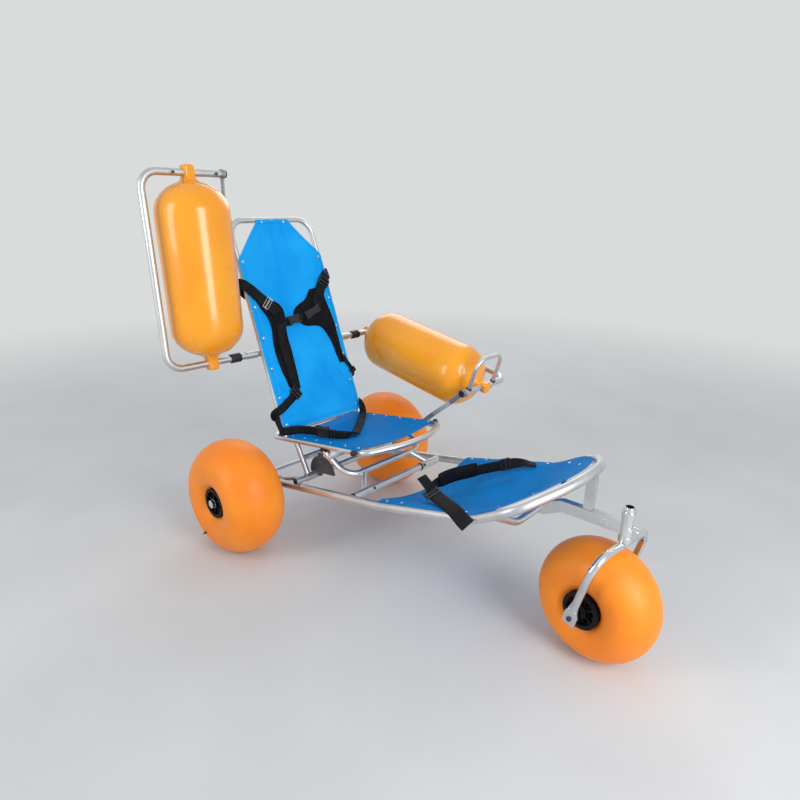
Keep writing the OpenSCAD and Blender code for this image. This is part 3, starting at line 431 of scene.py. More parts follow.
def copyTo(model, name, matrix):
    mesh = model.data.copy()
    mesh.transform(matrix)
    piece = bpy.data.objects.new(name, mesh)
    scene.collection.objects.link(piece)
    return piece


def copies(model, name, places):  # one piece made of copies
    return joinPieces(name, [copyTo(model, name, place) for place in places])


def placed(centre, along, up):  # a matrix with x along and z up at a place
    x = along.normalized()
    z = (up - x * up.dot(x)).normalized()
    y = z.cross(x)
    return Matrix((*((x[k], y[k], z[k], centre[k]) for k in range(3)), (0, 0, 0, 1)))


def startDrum(sides, radius, depth, place=(0, 0, 0), turn=(0, 0, 0)):  # a drum in metres
    bpy.ops.object.select_all(action="DESELECT")
    bpy.ops.mesh.primitive_cylinder_add(vertices=sides, radius=radius, depth=depth, location=place,
                                        rotation=turn)
    return bpy.context.object


def startBlock(size):  # a block to be shaped, in edit mode
    bpy.ops.object.select_all(action="DESELECT")
    bpy.ops.mesh.primitive_cube_add(size=1)
    bpy.ops.object.mode_set(mode="EDIT")
    bpy.ops.mesh.select_all(action="SELECT")
    bpy.ops.transform.resize(value=size)
    return bpy.context.object


def cutAcross(axis, places):
    normal = [1.0 if k == axis else 0.0 for k in range(3)]
    for place in places:
        bpy.ops.mesh.select_all(action="SELECT")
        bpy.ops.mesh.bisect(plane_co=[place * k for k in normal], plane_no=normal)


def pickFaces(piece, test):
    bpy.ops.mesh.select_mode(type="FACE")
    edit = bmesh.from_edit_mesh(piece.data)
    for face in edit.faces:
        face.select_set(bool(test(face.calc_center_median(), face.normal)))
    bmesh.update_edit_mesh(piece.data)


def pickVerts(piece, test):
    bpy.ops.mesh.select_mode(type="VERT")
    edit = bmesh.from_edit_mesh(piece.data)
    for vert in edit.verts:
        vert.select_set(bool(test(vert.co)))
    edit.select_flush(True)
    bmesh.update_edit_mesh(piece.data)


def stepFaces(depth):  # a step in the picked faces, along their normals
    bpy.ops.mesh.extrude_region_shrink_fatten(TRANSFORM_OT_shrink_fatten={"value": -depth})


def rounded(piece, width, segments, angle):
    bpy.ops.object.mode_set(mode="OBJECT")
    applyModifier(piece, "BEVEL", width=width, segments=segments, limit_method="ANGLE",
                  angle_limit=math.radians(angle))
    smoothPiece(piece)


def spunBody(outline, segments):  # an outline of distance and radius in millimetres, spun about x
    mesh = bpy.data.meshes.new("spun")
    edges = [(k, k + 1) for k in range(len(outline) - 1)]
    mesh.from_pydata([(u / 1000, 0, r / 1000) for u, r in outline], edges, [])
    body = bpy.data.objects.new("spun", mesh)
    scene.collection.objects.link(body)
    makeActive(body)
    bpy.ops.object.mode_set(mode="EDIT")
    bpy.ops.mesh.select_all(action="SELECT")
    bpy.ops.mesh.spin(steps=segments, angle=2 * math.pi, center=(0, 0, 0), axis=(1, 0, 0))
    bpy.ops.object.mode_set(mode="OBJECT")
    outward(body)
    return body


def spunPart(cut, material):  # a small turned part with eased edges
    part = spunBody(cut["outline"], cut["segments"])
    rounded(part, cut["ease"], 2, 30)
    part.data.materials.append(material)
    return part


def boxOf(name):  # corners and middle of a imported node
    low, high = (Vector(corner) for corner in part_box(name))
    return low, high, (low + high) / 2


# slings
def foldLift(folds, s, y):  # soft ridges and valleys along listed lines
    lift = 0.0
    for s0, y0, s1, y1, wide, high in folds:
        ds, dy = s1 - s0, y1 - y0
        run = math.hypot(ds, dy)
        t = ((s - s0) * ds + (y - y0) * dy) / run ** 2
        if -0.25 < t < 1.25:
            away = ((s - s0) * dy - (y - y0) * ds) / run
            spread = wide * (0.6 + 0.8 * min(max(t, 0), 1))
            ends = smoothStep(-0.25, 0.2, t) * (1 - smoothStep(0.6, 1.25, t))
            lift += high * math.exp(-(away / spread) ** 2) * ends
    return lift


def puckerLift(studs, s, y, reach=55.0, high=1.6, rays=5):  # the cloth pulls into small rays at each stud
    lift = 0.0
    for ss, sy in studs:
        ds, dy = s - ss, y - sy
        away = math.hypot(ds, dy)
        if 4 < away < reach * 2:
            fall = math.exp(-(away / reach) ** 2) * smoothStep(4, 16, away)
            lift += high * math.cos(rays * math.atan2(ds, dy)) * fall
    return lift


def edgeDrop(y, tube, reach):  # the cloth bends down round the side tube
    past = abs(y) - tube
    return reach - math.sqrt(max(reach * reach - past * past, 0.0)) if past > 0 else 0.0


def clothSheet(name, place, start, end, halfAt, grid, facing, thick, material):
    rows, columns = grid
    verts, faces, uvs, away, along = [], [], [], [], []
    for i in range(rows + 1):
        s = start + (end - start) * i / rows
        half = halfAt(s)
        for j in range(columns + 1):
            y = half * (2 * j / columns - 1)
            verts.append(place(s, y))
            uvs.append((s / 1000, y / 1000))
            away.append(min(half - abs(y), s - start, end - s) / 1000)
            along.append((s + y + 2000) / 1000)  # kept above zero
    for i in range(rows):
        for j in range(columns):
            a = i * (columns + 1) + j
            faces.append((a, a + 1, a + columns + 2, a + columns + 1))
    middle = faces[len(faces) // 2]
    normal = (verts[middle[1]] - verts[middle[0]]).cross(verts[middle[2]] - verts[middle[0]])
    if normal.dot(Vector(facing)) < 0:
        faces = [tuple(reversed(f)) for f in faces]
    piece = makePiece(name, verts, faces, material, uvs)
    for key, values in (("hemAway", away), ("hemAlong", along)):
        piece.data.attributes.new(key, "FLOAT", "POINT").data.foreach_set("value", values)
    applyModifier(piece, "SOLIDIFY", thickness=thick / 1000, offset=0.0)
    smoothPiece(piece, 60)
    return piece


# studs are s, y; a fold is from s, y to s, y, then half width and height; all in millimetres
backCut = {
    "bottom": 30, "top": 973, "lift": 14.0, "sag": 8.0, "sagHalf": 205, "thick": 1.3, "grid": (180, 88),
    "half": [(30, 230), (800, 230), (960, 92), (973, 84)],
    "studs": [(s, y) for y in (-210, 210) for s in (60, 181, 314, 451, 589, 790)] + [(962, -60), (962, 60)],
    "folds": [(955, -30, 520, -95, 20, 3.2), (955, -5, 480, -10, 22, -3.0), (955, 20, 560, 60, 20, 3.4),
              (950, 45, 600, 130, 18, -2.6), (940, -55, 640, -150, 18, -2.4),
              (820, 190, 560, 100, 26, 2.6), (420, 20, 120, 120, 30, 2.8), (300, 60, 60, 190, 22, -3.0),
              (250, 130, 120, 205, 14, 3.4), (330, -60, 80, 20, 34, -2.4), (240, -215, 120, -120, 18, 3.0),
              (190, -80, 40, 30, 26, 2.2)]}


def backHalf(s):
    return between(backCut["half"], s)


def backLift(s, y):
    sag = backCut["sag"] * max(0.0, 1 - (y / backCut["sagHalf"]) ** 2)
    fade = smoothStep(0, 40, backHalf(s) - abs(y))
    return (backCut["lift"] - sag * smoothStep(975, 880, s) + 2.1 * fade * foldLift(backCut["folds"], s, y)
            + 0.9 * puckerLift(backCut["studs"], s, y))


backSling = clothSheet("backSling",
                       lambda s, y: onBack(s, y, backLift(s, y) - edgeDrop(y, *chair["seatTube"])),
                       backCut["bottom"], backCut["top"], backHalf, backCut["grid"], (1, 0, 0.4),
                       backCut["thick"], blueBackCloth)
settle(backSling, "frame", ["back_sling"])

seatCut = {
    "rear": 60, "front": 592, "half": 232, "lift": 14.0, "sag": 18.0, "sagHalf": 200, "thick": 1.3,
    "grid": (150, 84),
    "studs": [(s, y) for s in (148, 226, 306, 396, 486, 566) for y in (-210, 210)],
    "folds": [(120, -190, 330, -60, 26, 2.6), (120, 190, 330, 70, 26, 2.6), (100, -60, 420, -30, 34, -2.2),
              (100, 80, 420, 60, 34, 2.0), (560, -180, 430, -40, 22, 2.2), (560, 180, 430, 60, 22, -2.2)],
    # the notch round each back tube: where, half length and depth
    "notch": (109, 13, 27)}


def seatHalf(s):
    at, reach, deep = seatCut["notch"]
    return seatCut["half"] - math.exp(-((s - at) / reach) ** 4) * deep - 3 * smoothStep(580, 592, s)


def seatLift(s, y):
    sag = seatCut["sag"] * max(0.0, 1 - (y / seatCut["sagHalf"]) ** 2)
    sag *= 0.82 + 0.18 * smoothStep(60, 200, s)
    fade = smoothStep(0, 40, seatCut["half"] - abs(y))
    return (seatCut["lift"] - sag + fade * foldLift(seatCut["folds"], s, y)
            + 0.6 * puckerLift(seatCut["studs"], s, y))


seatSling = clothSheet("seatSling",
                       lambda s, y: onSeat(s, y, seatLift(s, y) - edgeDrop(y, *chair["seatTube"])),
                       seatCut["rear"], seatCut["front"], seatHalf, seatCut["grid"], (0, 0, 1),
                       seatCut["thick"], blueSeatClothPaintedShade)
settle(seatSling, "frame", ["seat_sling"])

legCut = {
    "rear": 672, "front": 1321, "lift": 18.2, "sag": 42.0, "sagHalf": 252.0, "thick": 1.3,
    "grid": (150, 92),
    "half": [(672, 282), (1180, 282), (1206, 266), (1224, 248), (1246, 224), (1266, 196), (1290, 146),
             (1308, 88), (1316, 54), (1321, 24)],
    "studs": [(s, y * k) for s, y in ((706, 264), (778, 264), (1060, 264), (1164, 234), (1238, 156))
              for k in (-1, 1)],
    "folds": [(690, -200, 980, -40, 40, 3.0), (690, 200, 980, 60, 40, 3.0), (820, -30, 1120, 10, 60, -3.0),
              (1040, -240, 1180, -60, 26, 3.4), (1040, 240, 1180, 80, 26, 3.4),
              (1100, -20, 1290, 0, 40, -2.4), (900, 120, 1120, 200, 30, -2.4)]}


def legHalf(x):
    return between(legCut["half"], x)


def legLift(x, y):
    half = legHalf(x)
    sag = legCut["sag"] * max(0.0, 1 - (y / min(legCut["sagHalf"], half)) ** 2)
    sag *= 1 - smoothStep(1080, 1316, x)
    fade = smoothStep(0, 60, half - abs(y))
    return (legCut["lift"] - sag + fade * foldLift(legCut["folds"], x, y)
            + 0.6 * puckerLift(legCut["studs"], x, y))


legSling = clothSheet("legSling", lambda x, y: onLeg(x, y, legLift(x, y) - edgeDrop(y, *chair["legTube"])),
                      legCut["rear"], legCut["front"], legHalf, legCut["grid"], (0, 0, 1), legCut["thick"],
                      blueSeatClothPaintedShade)
settle(legSling, "frame", ["leg_sling"])
print("slings cut and hung")

# press studs: one domed cap with a rolled rim, copied to each place; a step is inset and rise
studCap = {
    "across": 0.0115, "rim": 0.0012, "sides": 20, "ease": 0.0003, "sunk": 0.0002,
    "steps": [(0.0011, -0.0004), (0.0006, 0.0013), (0.0016, 0.00052)]}


def pressStud():
    stud = startDrum(studCap["sides"], studCap["across"] / 2, studCap["rim"], (0, 0, studCap["rim"] / 2))
    bpy.ops.object.mode_set(mode="EDIT")
    pickFaces(stud, lambda c, n: n.z > 0.9)
    for inset, rise in studCap["steps"]:
        bpy.ops.mesh.inset(thickness=inset)
        bpy.ops.transform.translate(value=(0, 0, rise))
    rounded(stud, studCap["ease"], 2, 25)
    stud.data.materials.append(nickelPlate)
    return stud


def studPlace(place, surface, cut, tube, s, y):
    def at(a, b):
        return place(a, b, surface(a, b) - edgeDrop(b, *chair[tube]) + cut["thick"] / 2)
    along, side = at(s + 3, y) - at(s - 3, y), at(s, y + 3) - at(s, y - 3)
    up = along.cross(side)
    if up.dot(Vector((0.5, 0, 1))) < 0:
        up = -up
    return placed(at(s, y) - up.normalized() * studCap["sunk"], along, up)


stud = pressStud()
studPlaces = [studPlace(place, surface, cut, tube, s, y)
              for place, surface, cut, tube in ((onBack, backLift, backCut, "seatTube"),
                                                (onSeat, seatLift, seatCut, "seatTube"),
                                                (onLeg, legLift, legCut, "legTube"))
              for s, y in cut["studs"]]
settle(copies(stud, "pressStuds", studPlaces), "frame", ["snaps"])
bpy.data.objects.remove(stud)
print("press studs set:", len(studPlaces))


# hardware on the straps
def wireAlong(name, line, radius, material, around=10):  # bent wire, closed
    verts, side, n = [], None, len(line)
    for i, p in enumerate(line):
        along = (line[(i + 1) % n] - line[i - 1]).normalized()
        if side is None:
            side = along.orthogonal().normalized()
        side = (side - along * side.dot(along)).normalized()
        up = along.cross(side)
        for k in range(around):
            a = 2 * math.pi * k / around
            verts.append(p + (side * math.cos(a) + up * math.sin(a)) * radius)
    return closedPiece(name, verts, ringFaces(n, around, closed=True), material, None, 60)


def wireFrame(name, place, size, shares, step, wire, material):  # rectangle of bent wire
    a, b = size[0] / 2, size[1] / 2
    corners = [(-a, -b), (a, -b), (a, b), (-a, b)]
    points = []
    for (p, q), (r, s) in zip(corners, corners[1:] + corners[:1]):
        points += [(p + (r - p) * t, q + (s - q) * t) for t in shares]
    line = smoothLine([place(p, q) for p, q in points + points[:1]], step)[:-1]
    return wireAlong(name, line, wire, material)


# side release buckle: waisted body, prong windows and webbing slots, as shares of its size
buckle = {
    "size": (0.074, 0.042, 0.014), "cuts": (-0.33, -0.12, 0.12, 0.33), "lanes": (-0.3, 0.3),
    "waist": (1, 0.84, 0.9), "prong": 0.1, "window": 0.05, "windowStep": 0.16, "slot": 0.06, "slotStep": 0.4,
    "ease": 0.0011}


def sideBuckle():
    length, width, thick = buckle["size"]
    body = startBlock(buckle["size"])
    cutAcross(0, [length * k for k in buckle["cuts"]])
    cutAcross(1, [width * k for k in buckle["lanes"]])
    pickVerts(body, lambda c: abs(c.x) < length * 0.2 and abs(c.y) > width * 0.4)
    bpy.ops.transform.resize(value=buckle["waist"])
    pickFaces(body, lambda c, n: abs(n.y) > 0.9 and abs(c.x) < length * 0.1)
    stepFaces(width * buckle["prong"])
    pickFaces(body, lambda c, n: n.z > 0.9 and abs(c.x) < length * 0.3 and abs(c.y) < width * 0.25)
    bpy.ops.mesh.inset(thickness=width * buckle["window"])
    stepFaces(thick * buckle["windowStep"])
    pickFaces(body, lambda c, n: n.z > 0.9 and abs(c.x) > length * 0.34 and abs(c.y) < width * 0.25)
    bpy.ops.mesh.inset(thickness=width * buckle["slot"])
    stepFaces(thick * buckle["slotStep"])
    rounded(body, buckle["ease"], 2, 30)
    body.data.materials.append(blackPlastic)
    return body


# flat adjuster with two windows and a bar between, as shares of its size
ladder = {"cuts": (-0.36, -0.1, 0.1, 0.36), "lanes": (-0.4, 0.4), "bow": 0.25, "ease": 0.0009}


def ladderLock(length, width, thick):
    lock = startBlock((length, width, thick))
    cutAcross(0, [length * k for k in ladder["cuts"]])
    cutAcross(1, [width * k for k in ladder["lanes"]])
    pickVerts(lock, lambda c: abs(c.x) < length * 0.12)
    bpy.ops.transform.translate(value=(0, 0, thick * ladder["bow"]))
    pickFaces(lock, lambda c, n: abs(n.z) > 0.7 and abs(c.y) < width * 0.3
              and length * 0.12 < abs(c.x) < length * 0.34)
    bpy.ops.mesh.bridge_edge_loops()
    rounded(lock, ladder["ease"], 2, 30)
    lock.data.materials.append(blackPlastic)
    return lock


def onCloth(y, half=214):  # a strap that goes past the side keeps the height of the cloth's edge
    return max(-half, min(half, y))


def overBack(s, y, lift):  # height above the back sling's front face
    return onBack(s, y, backLift(s, onCloth(y)) + backCut["thick"] / 2 + lift)


def acrossOnBack(path):  # the width direction of a band that lies on the back sling
    sides = []
    for i, p in enumerate(path):
        q = path[min(i + 1, len(path) - 1)] - path[max(i - 1, 0)]
        a = Vector((q.y, -q.x, 0)).normalized() * 4
        sides.append(overBack(p.x + a.x, p.y + a.y, p.z) - overBack(p.x - a.x, p.y - a.y, p.z))
    return sides


def backBand(name, points, width, thick, side=None):  # webbing on the back sling: s, y, lift of its middle
    path = smoothLine(points, 5.0)
    line = [overBack(*p) for p in path]
    across = acrossOnBack(path) if side is None else [side] * len(line)
    return bandAlong(name, line, across, width / 1000, thick / 1000, navyWebbing)


def resample(points, count):
    line = smoothLine([(a, b, 0) for a, b in points], 2.0)
    return [line[round(i * (len(line) - 1) / (count - 1))] for i in range(count)]


# two pads on the back, each between two cut edges of s, y
harness = {
    "pad": 9.0, "under": 0.6, "edge": 1.6, "rows": 56, "columns": 14,
    "tape": {"wide": 0.0064, "thick": 0.0036, "lift": 0.0022},
    "rightOuter": [(610, -196), (577, -182), (536, -160), (485, -154), (436, -163), (374, -168),
                   (296, -160), (254, -150), (214, -143)],
    "rightInner": [(634, -152), (611, -123), (592, -93), (563, -72), (525, -71), (474, -81), (423, -84),
                   (357, -82), (247, -86), (200, -90)],
    "leftInner": [(636, 106), (612, 86), (590, 62), (567, 14), (543, -9), (522, -9), (495, 8), (474, 40),
                  (466, 100), (443, 132), (383, 156), (325, 166), (272, 174)],
    "leftOuter": [(646, 186), (616, 180), (569, 182), (520, 192), (466, 198), (405, 199), (320, 199),
                  (272, 200)],
    # s, y and height over the cloth of each band's middle, then its width and thickness
    "bands": {
        "rightShoulderStrap": ([(548, -110, 13), (585, -142, 13), (620, -176, 8), (664, -212, 6),
                                (690, -240, 2), (698, -251, -14), (690, -246, -34), (668, -222, -40),
                                (640, -196, -38)], 50, 2.4),
        "rightShoulderTail": ([(566, -122, 16.5), (604, -158, 16), (640, -192, 12), (668, -218, 9.5)],
                              50, 2.2),
        "rightLowerStrap": ([(236, -116, 12.5), (204, -116, 12), (180, -132, 7), (150, -180, 4),
                             (130, -222, 4), (122, -243, -6), (114, -250, -20), (104, -238, -36),
                             (92, -206, -38)], 38, 2.4),
        # down the outside of the tube to the lap belt, edge to the front
        "rightLowerLink": ([(128, -236, -8), (110, -243, -10), (88, -247, -10), (64, -245, -9),
                            (40, -242, -6)], 36, 2.4, backOut),
        "leftShoulderStrap": ([(560, 118, 13), (604, 142, 13), (650, 178, 9), (682, 208, 6), (704, 232, 1),
                               (712, 244, -14), (706, 240, -32), (690, 222, -39), (664, 196, -38)], 50, 2.4),
        "leftShoulderTail": ([(590, 136, 16.5), (628, 164, 15), (664, 194, 10)], 44, 2.2),
        "leftLowerStrap": ([(300, 198, 12), (276, 204, 10), (250, 220, 9), (224, 234, 4), (206, 246, -8),
                            (198, 246, -24), (190, 232, -37), (182, 206, -38)], 20, 2.0),
        "rightPadWebbing": ([(492, -112, 12.6), (430, -124, 12.8), (350, -124, 12.8), (262, -118, 12.8),
                             (218, -116, 11.5)], 38, 2.0),
        "chestStrap": ([(470, -128, 13), (492, -92, 13), (505, -50, 11), (511, -18, 9), (520, 20, 12),
                        (536, 70, 13.5), (556, 132, 13.5)], 26, 2.2)},
    # size of a lock in metres, then s, y, turn and height of each copy
    "locks": [((0.040, 0.056, 0.006), {"leftShoulderLock": (664, 192, 0.68, 15),
                                       "rightLowerLock": (186, -122, 1.0, 11)}),
              ((0.026, 0.034, 0.005), {"leftLowerLock": (222, 233, -0.5, 8)})],
    # wire slider with its middle bar: along, across and height of each loop
    "glide": {"at": (596, -151), "turn": -0.74, "loops": [(26, 56, 17.6), (4, 54, 18.0)],
              "wire": 0.0013},
    "buckle": (509, -28, math.pi / 2 - 0.16, 13), "adjuster": (531, 80, math.pi / 2 - 0.34, 16),
    "adjusterGrow": (1.25, 0.86, 0.8, 1)}


def padPanel(name, edgeA, edgeB, thick):  # crowned pad between two cut edges on the back
    rows, columns = harness["rows"], harness["columns"]
    a, b = resample(edgeA, rows + 1), resample(edgeB, rows + 1)
    tops, bottoms, uvs = [], [], []
    for i in range(rows + 1):
        end = smoothStep(0, 5, i) * smoothStep(0, 5, rows - i)
        for j in range(columns + 1):
            v = j / columns
            p = a[i].lerp(b[i], v)
            crown = (1 - abs(2 * v - 1) ** 3.0) ** 0.5
            soft = 0.9 + 0.2 * noise.noise(Vector((p.x / 38, p.y / 30, 3.1)))
            tops.append(overBack(p.x, p.y, harness["edge"] + thick * (0.12 + 0.88 * crown * end) * soft))
            bottoms.append(overBack(p.x, p.y, harness["under"]))
            uvs.append((p.x / 1000, p.y / 1000))
    w, n, faces = columns + 1, len(tops), []
    for i in range(rows):
        for j in range(columns):
            k = i * w + j
            faces.append((k, k + 1, k + w + 1, k + w))
            faces.append((n + k, n + k + w, n + k + w + 1, n + k + 1))
    rim = [j for j in range(w)] + [i * w + columns for i in range(1, rows + 1)] \
        + [rows * w + j for j in range(columns - 1, -1, -1)] + [i * w for i in range(rows - 1, 0, -1)]
    for p, q in zip(rim, rim[1:] + rim[:1]):
        faces.append((p, n + p, n + q, q))
    pad = closedPiece(name, tops + bottoms, faces, padCover, uvs + uvs, 60)
    return pad, [tops[k].lerp(bottoms[k], 0.5) for k in rim]


def bindingTape(name, outline, wide, thick, lift):  # tape folded over the pad's edge
    up = backOut.normalized()
    line = [p + up * lift for p in smoothLine(outline, 0.006)]
    return bandAlong(name, line, [up] * len(line), wide, thick, navyWebbing, closed=True)


def onBackMatrix(s, y, turn, lift):  # x along the turned strap, z out of the sling
    centre = overBack(s, y, lift)
    return placed(centre, overBack(s + 6 * math.cos(turn), y + 6 * math.sin(turn), lift) - centre, backOut)


def glideLoop(long, wide, lift):
    s, y = harness["glide"]["at"]
    c, q = math.cos(harness["glide"]["turn"]), math.sin(harness["glide"]["turn"])
    return wireFrame("glide", lambda a, b: overBack(s + a * c - b * q, y + a * q + b * c, lift),
                     (long, wide), (0.06, 0.5, 0.94), 0.004, harness["glide"]["wire"], polishedStainless)


for side in ("right", "left"):
    pad, rim = padPanel(side + "HarnessPad", harness[side + "Outer"], harness[side + "Inner"],
                        harness["pad"])
    settle(pad, "frame", [side + "_harness"])
    settle(bindingTape(side + "PadBinding", rim, **harness["tape"]), "frame")
for name, cut in harness["bands"].items():
    settle(backBand(name, *cut), "frame")
glide = joinPieces("rightShoulderGlide", [glideLoop(*loop) for loop in harness["glide"]["loops"]])
settle(glide, "frame")
for size, spots in harness["locks"]:
    lock = ladderLock(*size)
    for name, spot in spots.items():
        settle(copyTo(lock, name, onBackMatrix(*spot)), "frame")
    bpy.data.objects.remove(lock)
buckleModel = sideBuckle()
chestBuckle = copyTo(buckleModel, "chestBuckle", onBackMatrix(*harness["buckle"]))
settle(chestBuckle, "frame", ["chest_buckle"])
chestAdjuster = copyTo(buckleModel, "chestAdjuster",
                       onBackMatrix(*harness["adjuster"]) @ Matrix.Diagonal(harness["adjusterGrow"]))
settle(chestAdjuster, "frame")
print("harness laid on the back")


# lap belt, standing on edge on the seat
def overSeat(s, y, lift):
    return onSeat(s, y, seatLift(s, onCloth(y)) + seatCut["thick"] / 2 + lift)


def edgeBand(name, place, points, width, thick, twist=((0, 0), (1, 0))):  # twist in degrees from upright
    path = smoothLine(points, 5.0)
    line = [place(*p) for p in path]
    across = []
    for i, p in enumerate(path):
        q = path[min(i + 1, len(path) - 1)] - path[max(i - 1, 0)]
        turn = math.radians(between(twist, i / (len(path) - 1)))
        out = Vector((q.y, -q.x, 0)).normalized() * math.sin(turn)
        across.append(place(p.x + out.x, p.y + out.y, p.z + math.cos(turn)) - line[i])
    return bandAlong(name, line, across, width / 1000, thick / 1000, navyWebbing)


# the near run goes round the right back tube, the far run ends at the left one
lap = {
    "high": 38, "thick": 2.8, "middle": 20.0,
    "near": [(80, -226, 26), (86, -238, 25), (99, -243, 24), (113, -238, 22), (122, -222, 21),
             (136, -198, 20), (160, -168, 20), (213, -149, 20), (250, -149, 20)],
    "far": [(306, -149, 20), (346, -147, 20), (378, -130, 18), (389, -96, 13), (366, -50, 9), (332, -4, 7),
            (248, 100, 8), (194, 166, 16), (162, 196, 32), (138, 212, 46), (114, 224, 54)],
    "farTwist": [(0, 0), (0.17, 8), (0.33, 100), (0.74, 100), (0.9, 40), (1, 0)],  # it lies down on the seat
    "keepers": [(322, -149), (338, -149), (354, -145)], "keeperSize": (6.4, 42), "wire": 0.0014,
    "buckle": (278, -149), "buckleLift": 22.0, "buckleGrow": (1.02, 1.36, 1.1, 1)}
lapRuns = [edgeBand("lapRun", overSeat, lap["near"], lap["high"], lap["thick"]),
           edgeBand("lapRun", overSeat, lap["far"], lap["high"], lap["thick"], lap["farTwist"])]
settle(joinPieces("lapBelt", lapRuns), "frame", ["lap_belt"])
buckleS, buckleY = lap["buckle"]
lapAt = overSeat(buckleS, buckleY, lap["buckleLift"])
lapAlong = overSeat(buckleS + 20, buckleY, lap["buckleLift"]) - lapAt
lapBuckle = copyTo(buckleModel, "lapBuckle",
                   placed(lapAt, lapAlong, Vector((0, -1, 0))) @ Matrix.Diagonal(lap["buckleGrow"]))
settle(lapBuckle, "frame", ["lap_buckle"])
bpy.data.objects.remove(buckleModel)


def keeperLoop(s, y):  # bent wire round the band on edge
    return wireFrame("keeper", lambda p, q: overSeat(s, y + p, lap["middle"] + q), lap["keeperSize"],
                     (0.12, 0.88), 0.003, lap["wire"], blackPlastic)


keepers = joinPieces("lapKeepers", [keeperLoop(s, y) for s, y in lap["keepers"]])
settle(keepers, "frame")
print("lap belt on the seat")


# calf strap
def overLeg(a, b, lift):  # a is measured along the leg tubes from their rear end
    return onLeg(chair["legRear"][0] + a * math.cos(math.radians(chair["legTilt"])), b, lift)


# a along the leg tubes, b across, height of the band's middle above the tube centres
calf = {
    "high": 40, "thick": 2.8, "padHigh": 54, "padThick": 22,
    "far": [(384, 250, 8), (366, 240, 20), (340, 222, 31), (310, 192, 37), (279, 150, 39), (214, 70, 39),
            (170, 0, 39), (152, -80, 39), (166, -146, 38)],
    "farTwist": [(0, 84), (0.08, 80), (0.26, 0), (1, 0)],
    "pad": [(219, 76, 44), (192, 34, 44), (170, 0, 44), (159, -36, 44), (155, -84, 44)],
    "near": [(158, -138, 38), (184, -168, 40), (212, -194, 41), (300, -240, 33), (374, -276, 24),
             (420, -300, 10), (456, -318, -6)],
    "nearWide": 50,
    "tail": [(196, -172, 36), (190, -176, 52), (176, -178, 72), (158, -178, 92)], "tailCut": (0.044, 0.0026),
    "slider": (212, -196, 41), "sliderSize": (0.062, 0.060, 0.007),
    "crown": (288, 163, 40), "crownSize": (0.040, 0.048, 0.007)}
calfStrap = edgeBand("calfStrap", overLeg, calf["far"], calf["high"], calf["thick"], calf["farTwist"])
legUp = (overLeg(0, 0, 9) - overLeg(0, 0, 0)).normalized()
legAhead = (overLeg(9, 0, 0) - overLeg(0, 0, 0)).normalized()


def legLine(key, step=5.0):
    return [overLeg(*p) for p in smoothLine(calf[key], step)]


# the near strap turns to lie down, then hangs by the rail
lyingAcross = legAhead * 0.5 + Vector((0, 0.8, 0)) + legUp * 0.3
hangingAcross = legAhead * 0.54 + Vector((0, 0.7, 0)) + legUp * 0.42
nearLine = legLine("near")
nearAcross = [legUp.lerp(lyingAcross, smoothStep(0.02, 0.16, t))
              .lerp(hangingAcross, smoothStep(0.45, 0.85, t))
              for t in (i / len(nearLine) for i in range(len(nearLine)))]
calfNear = bandAlong("calfNearStrap", nearLine, nearAcross, calf["nearWide"] / 1000, calf["thick"] / 1000,
                     navyWebbing)
tailLine = legLine("tail")
calfTail = bandAlong("calfTail", tailLine, [Vector((0.3, 1, 0))] * len(tailLine), *calf["tailCut"],
                     navyWebbing)


def stuffedSleeve(name, line, up, high, thick, around=24):  # pad sewn round a strap, drawn in at its ends
    verts, uvs, n, run = [], [], len(line), 0.0
    for i, p in enumerate(line):
        along = (line[min(i + 1, n - 1)] - line[max(i - 1, 0)]).normalized()
        tall = (up - along * up.dot(along)).normalized()
        out = along.cross(tall)
        t = abs(2 * i / (n - 1) - 1)
        full = max(0.18, (1 - t ** 8) ** 0.5)
        run += (p - line[i - 1]).length if i else 0.0
        soft = 1 + 0.08 * noise.noise(p * 34)
        for k in range(around):
            c, s = math.cos(2 * math.pi * k / around), math.sin(2 * math.pi * k / around)
            h = math.copysign(abs(c) ** 0.6, c) * high / 2 * (0.84 + 0.16 * full)
            w = math.copysign(abs(s) ** 0.9, s) * thick / 2 * full * soft
            verts.append(p + tall * h + out * w)
            uvs.append((run, h))
    return closedPiece(name, verts, ringFaces(n, around), padCover, uvs, 50)


calfPad = stuffedSleeve("calfPad", legLine("pad", 4.0), legUp, calf["padHigh"] / 1000,
                        calf["padThick"] / 1000)


def legSlider(name, key, ahead, across):  # ladder slider on the strap
    lock = ladderLock(*calf[key + "Size"])
    along = legAhead * ahead[0] + Vector((0, ahead[1], 0))
    piece = copyTo(lock, name, placed(overLeg(*calf[key]), along, along.cross(across)))
    bpy.data.objects.remove(lock)
    return piece


settle(calfStrap, "frame", ["calf_strap"])
for piece in (calfNear, calfTail, calfPad):
    settle(piece, "frame")
settle(legSlider("calfSlider", "slider", (0.82, -0.54), lyingAcross), "frame")
settle(legSlider("calfCrownSlider", "crown", (0.60, 0.80), legUp), "frame")
print("calf strap hung")

# black clips round the front cross tube, each on the right of a sleeve
clip = {"places": (-259, 141), "long": 7, "proud": 2.6, "sides": 48}
tubeLow, tubeHigh, frontTube = boxOf("front_cross_tube")
tubeRadius = (tubeHigh.z - tubeLow.z) / 2 * 1000
clips = [ringBand(Vector((frontTube.x, y / 1000, frontTube.z)), tubeRadius, clip["long"], clip["proud"],
                  clip["sides"]) for y in clip["places"]]
settle(joinPieces("frontTubeClip", clips), "frame")

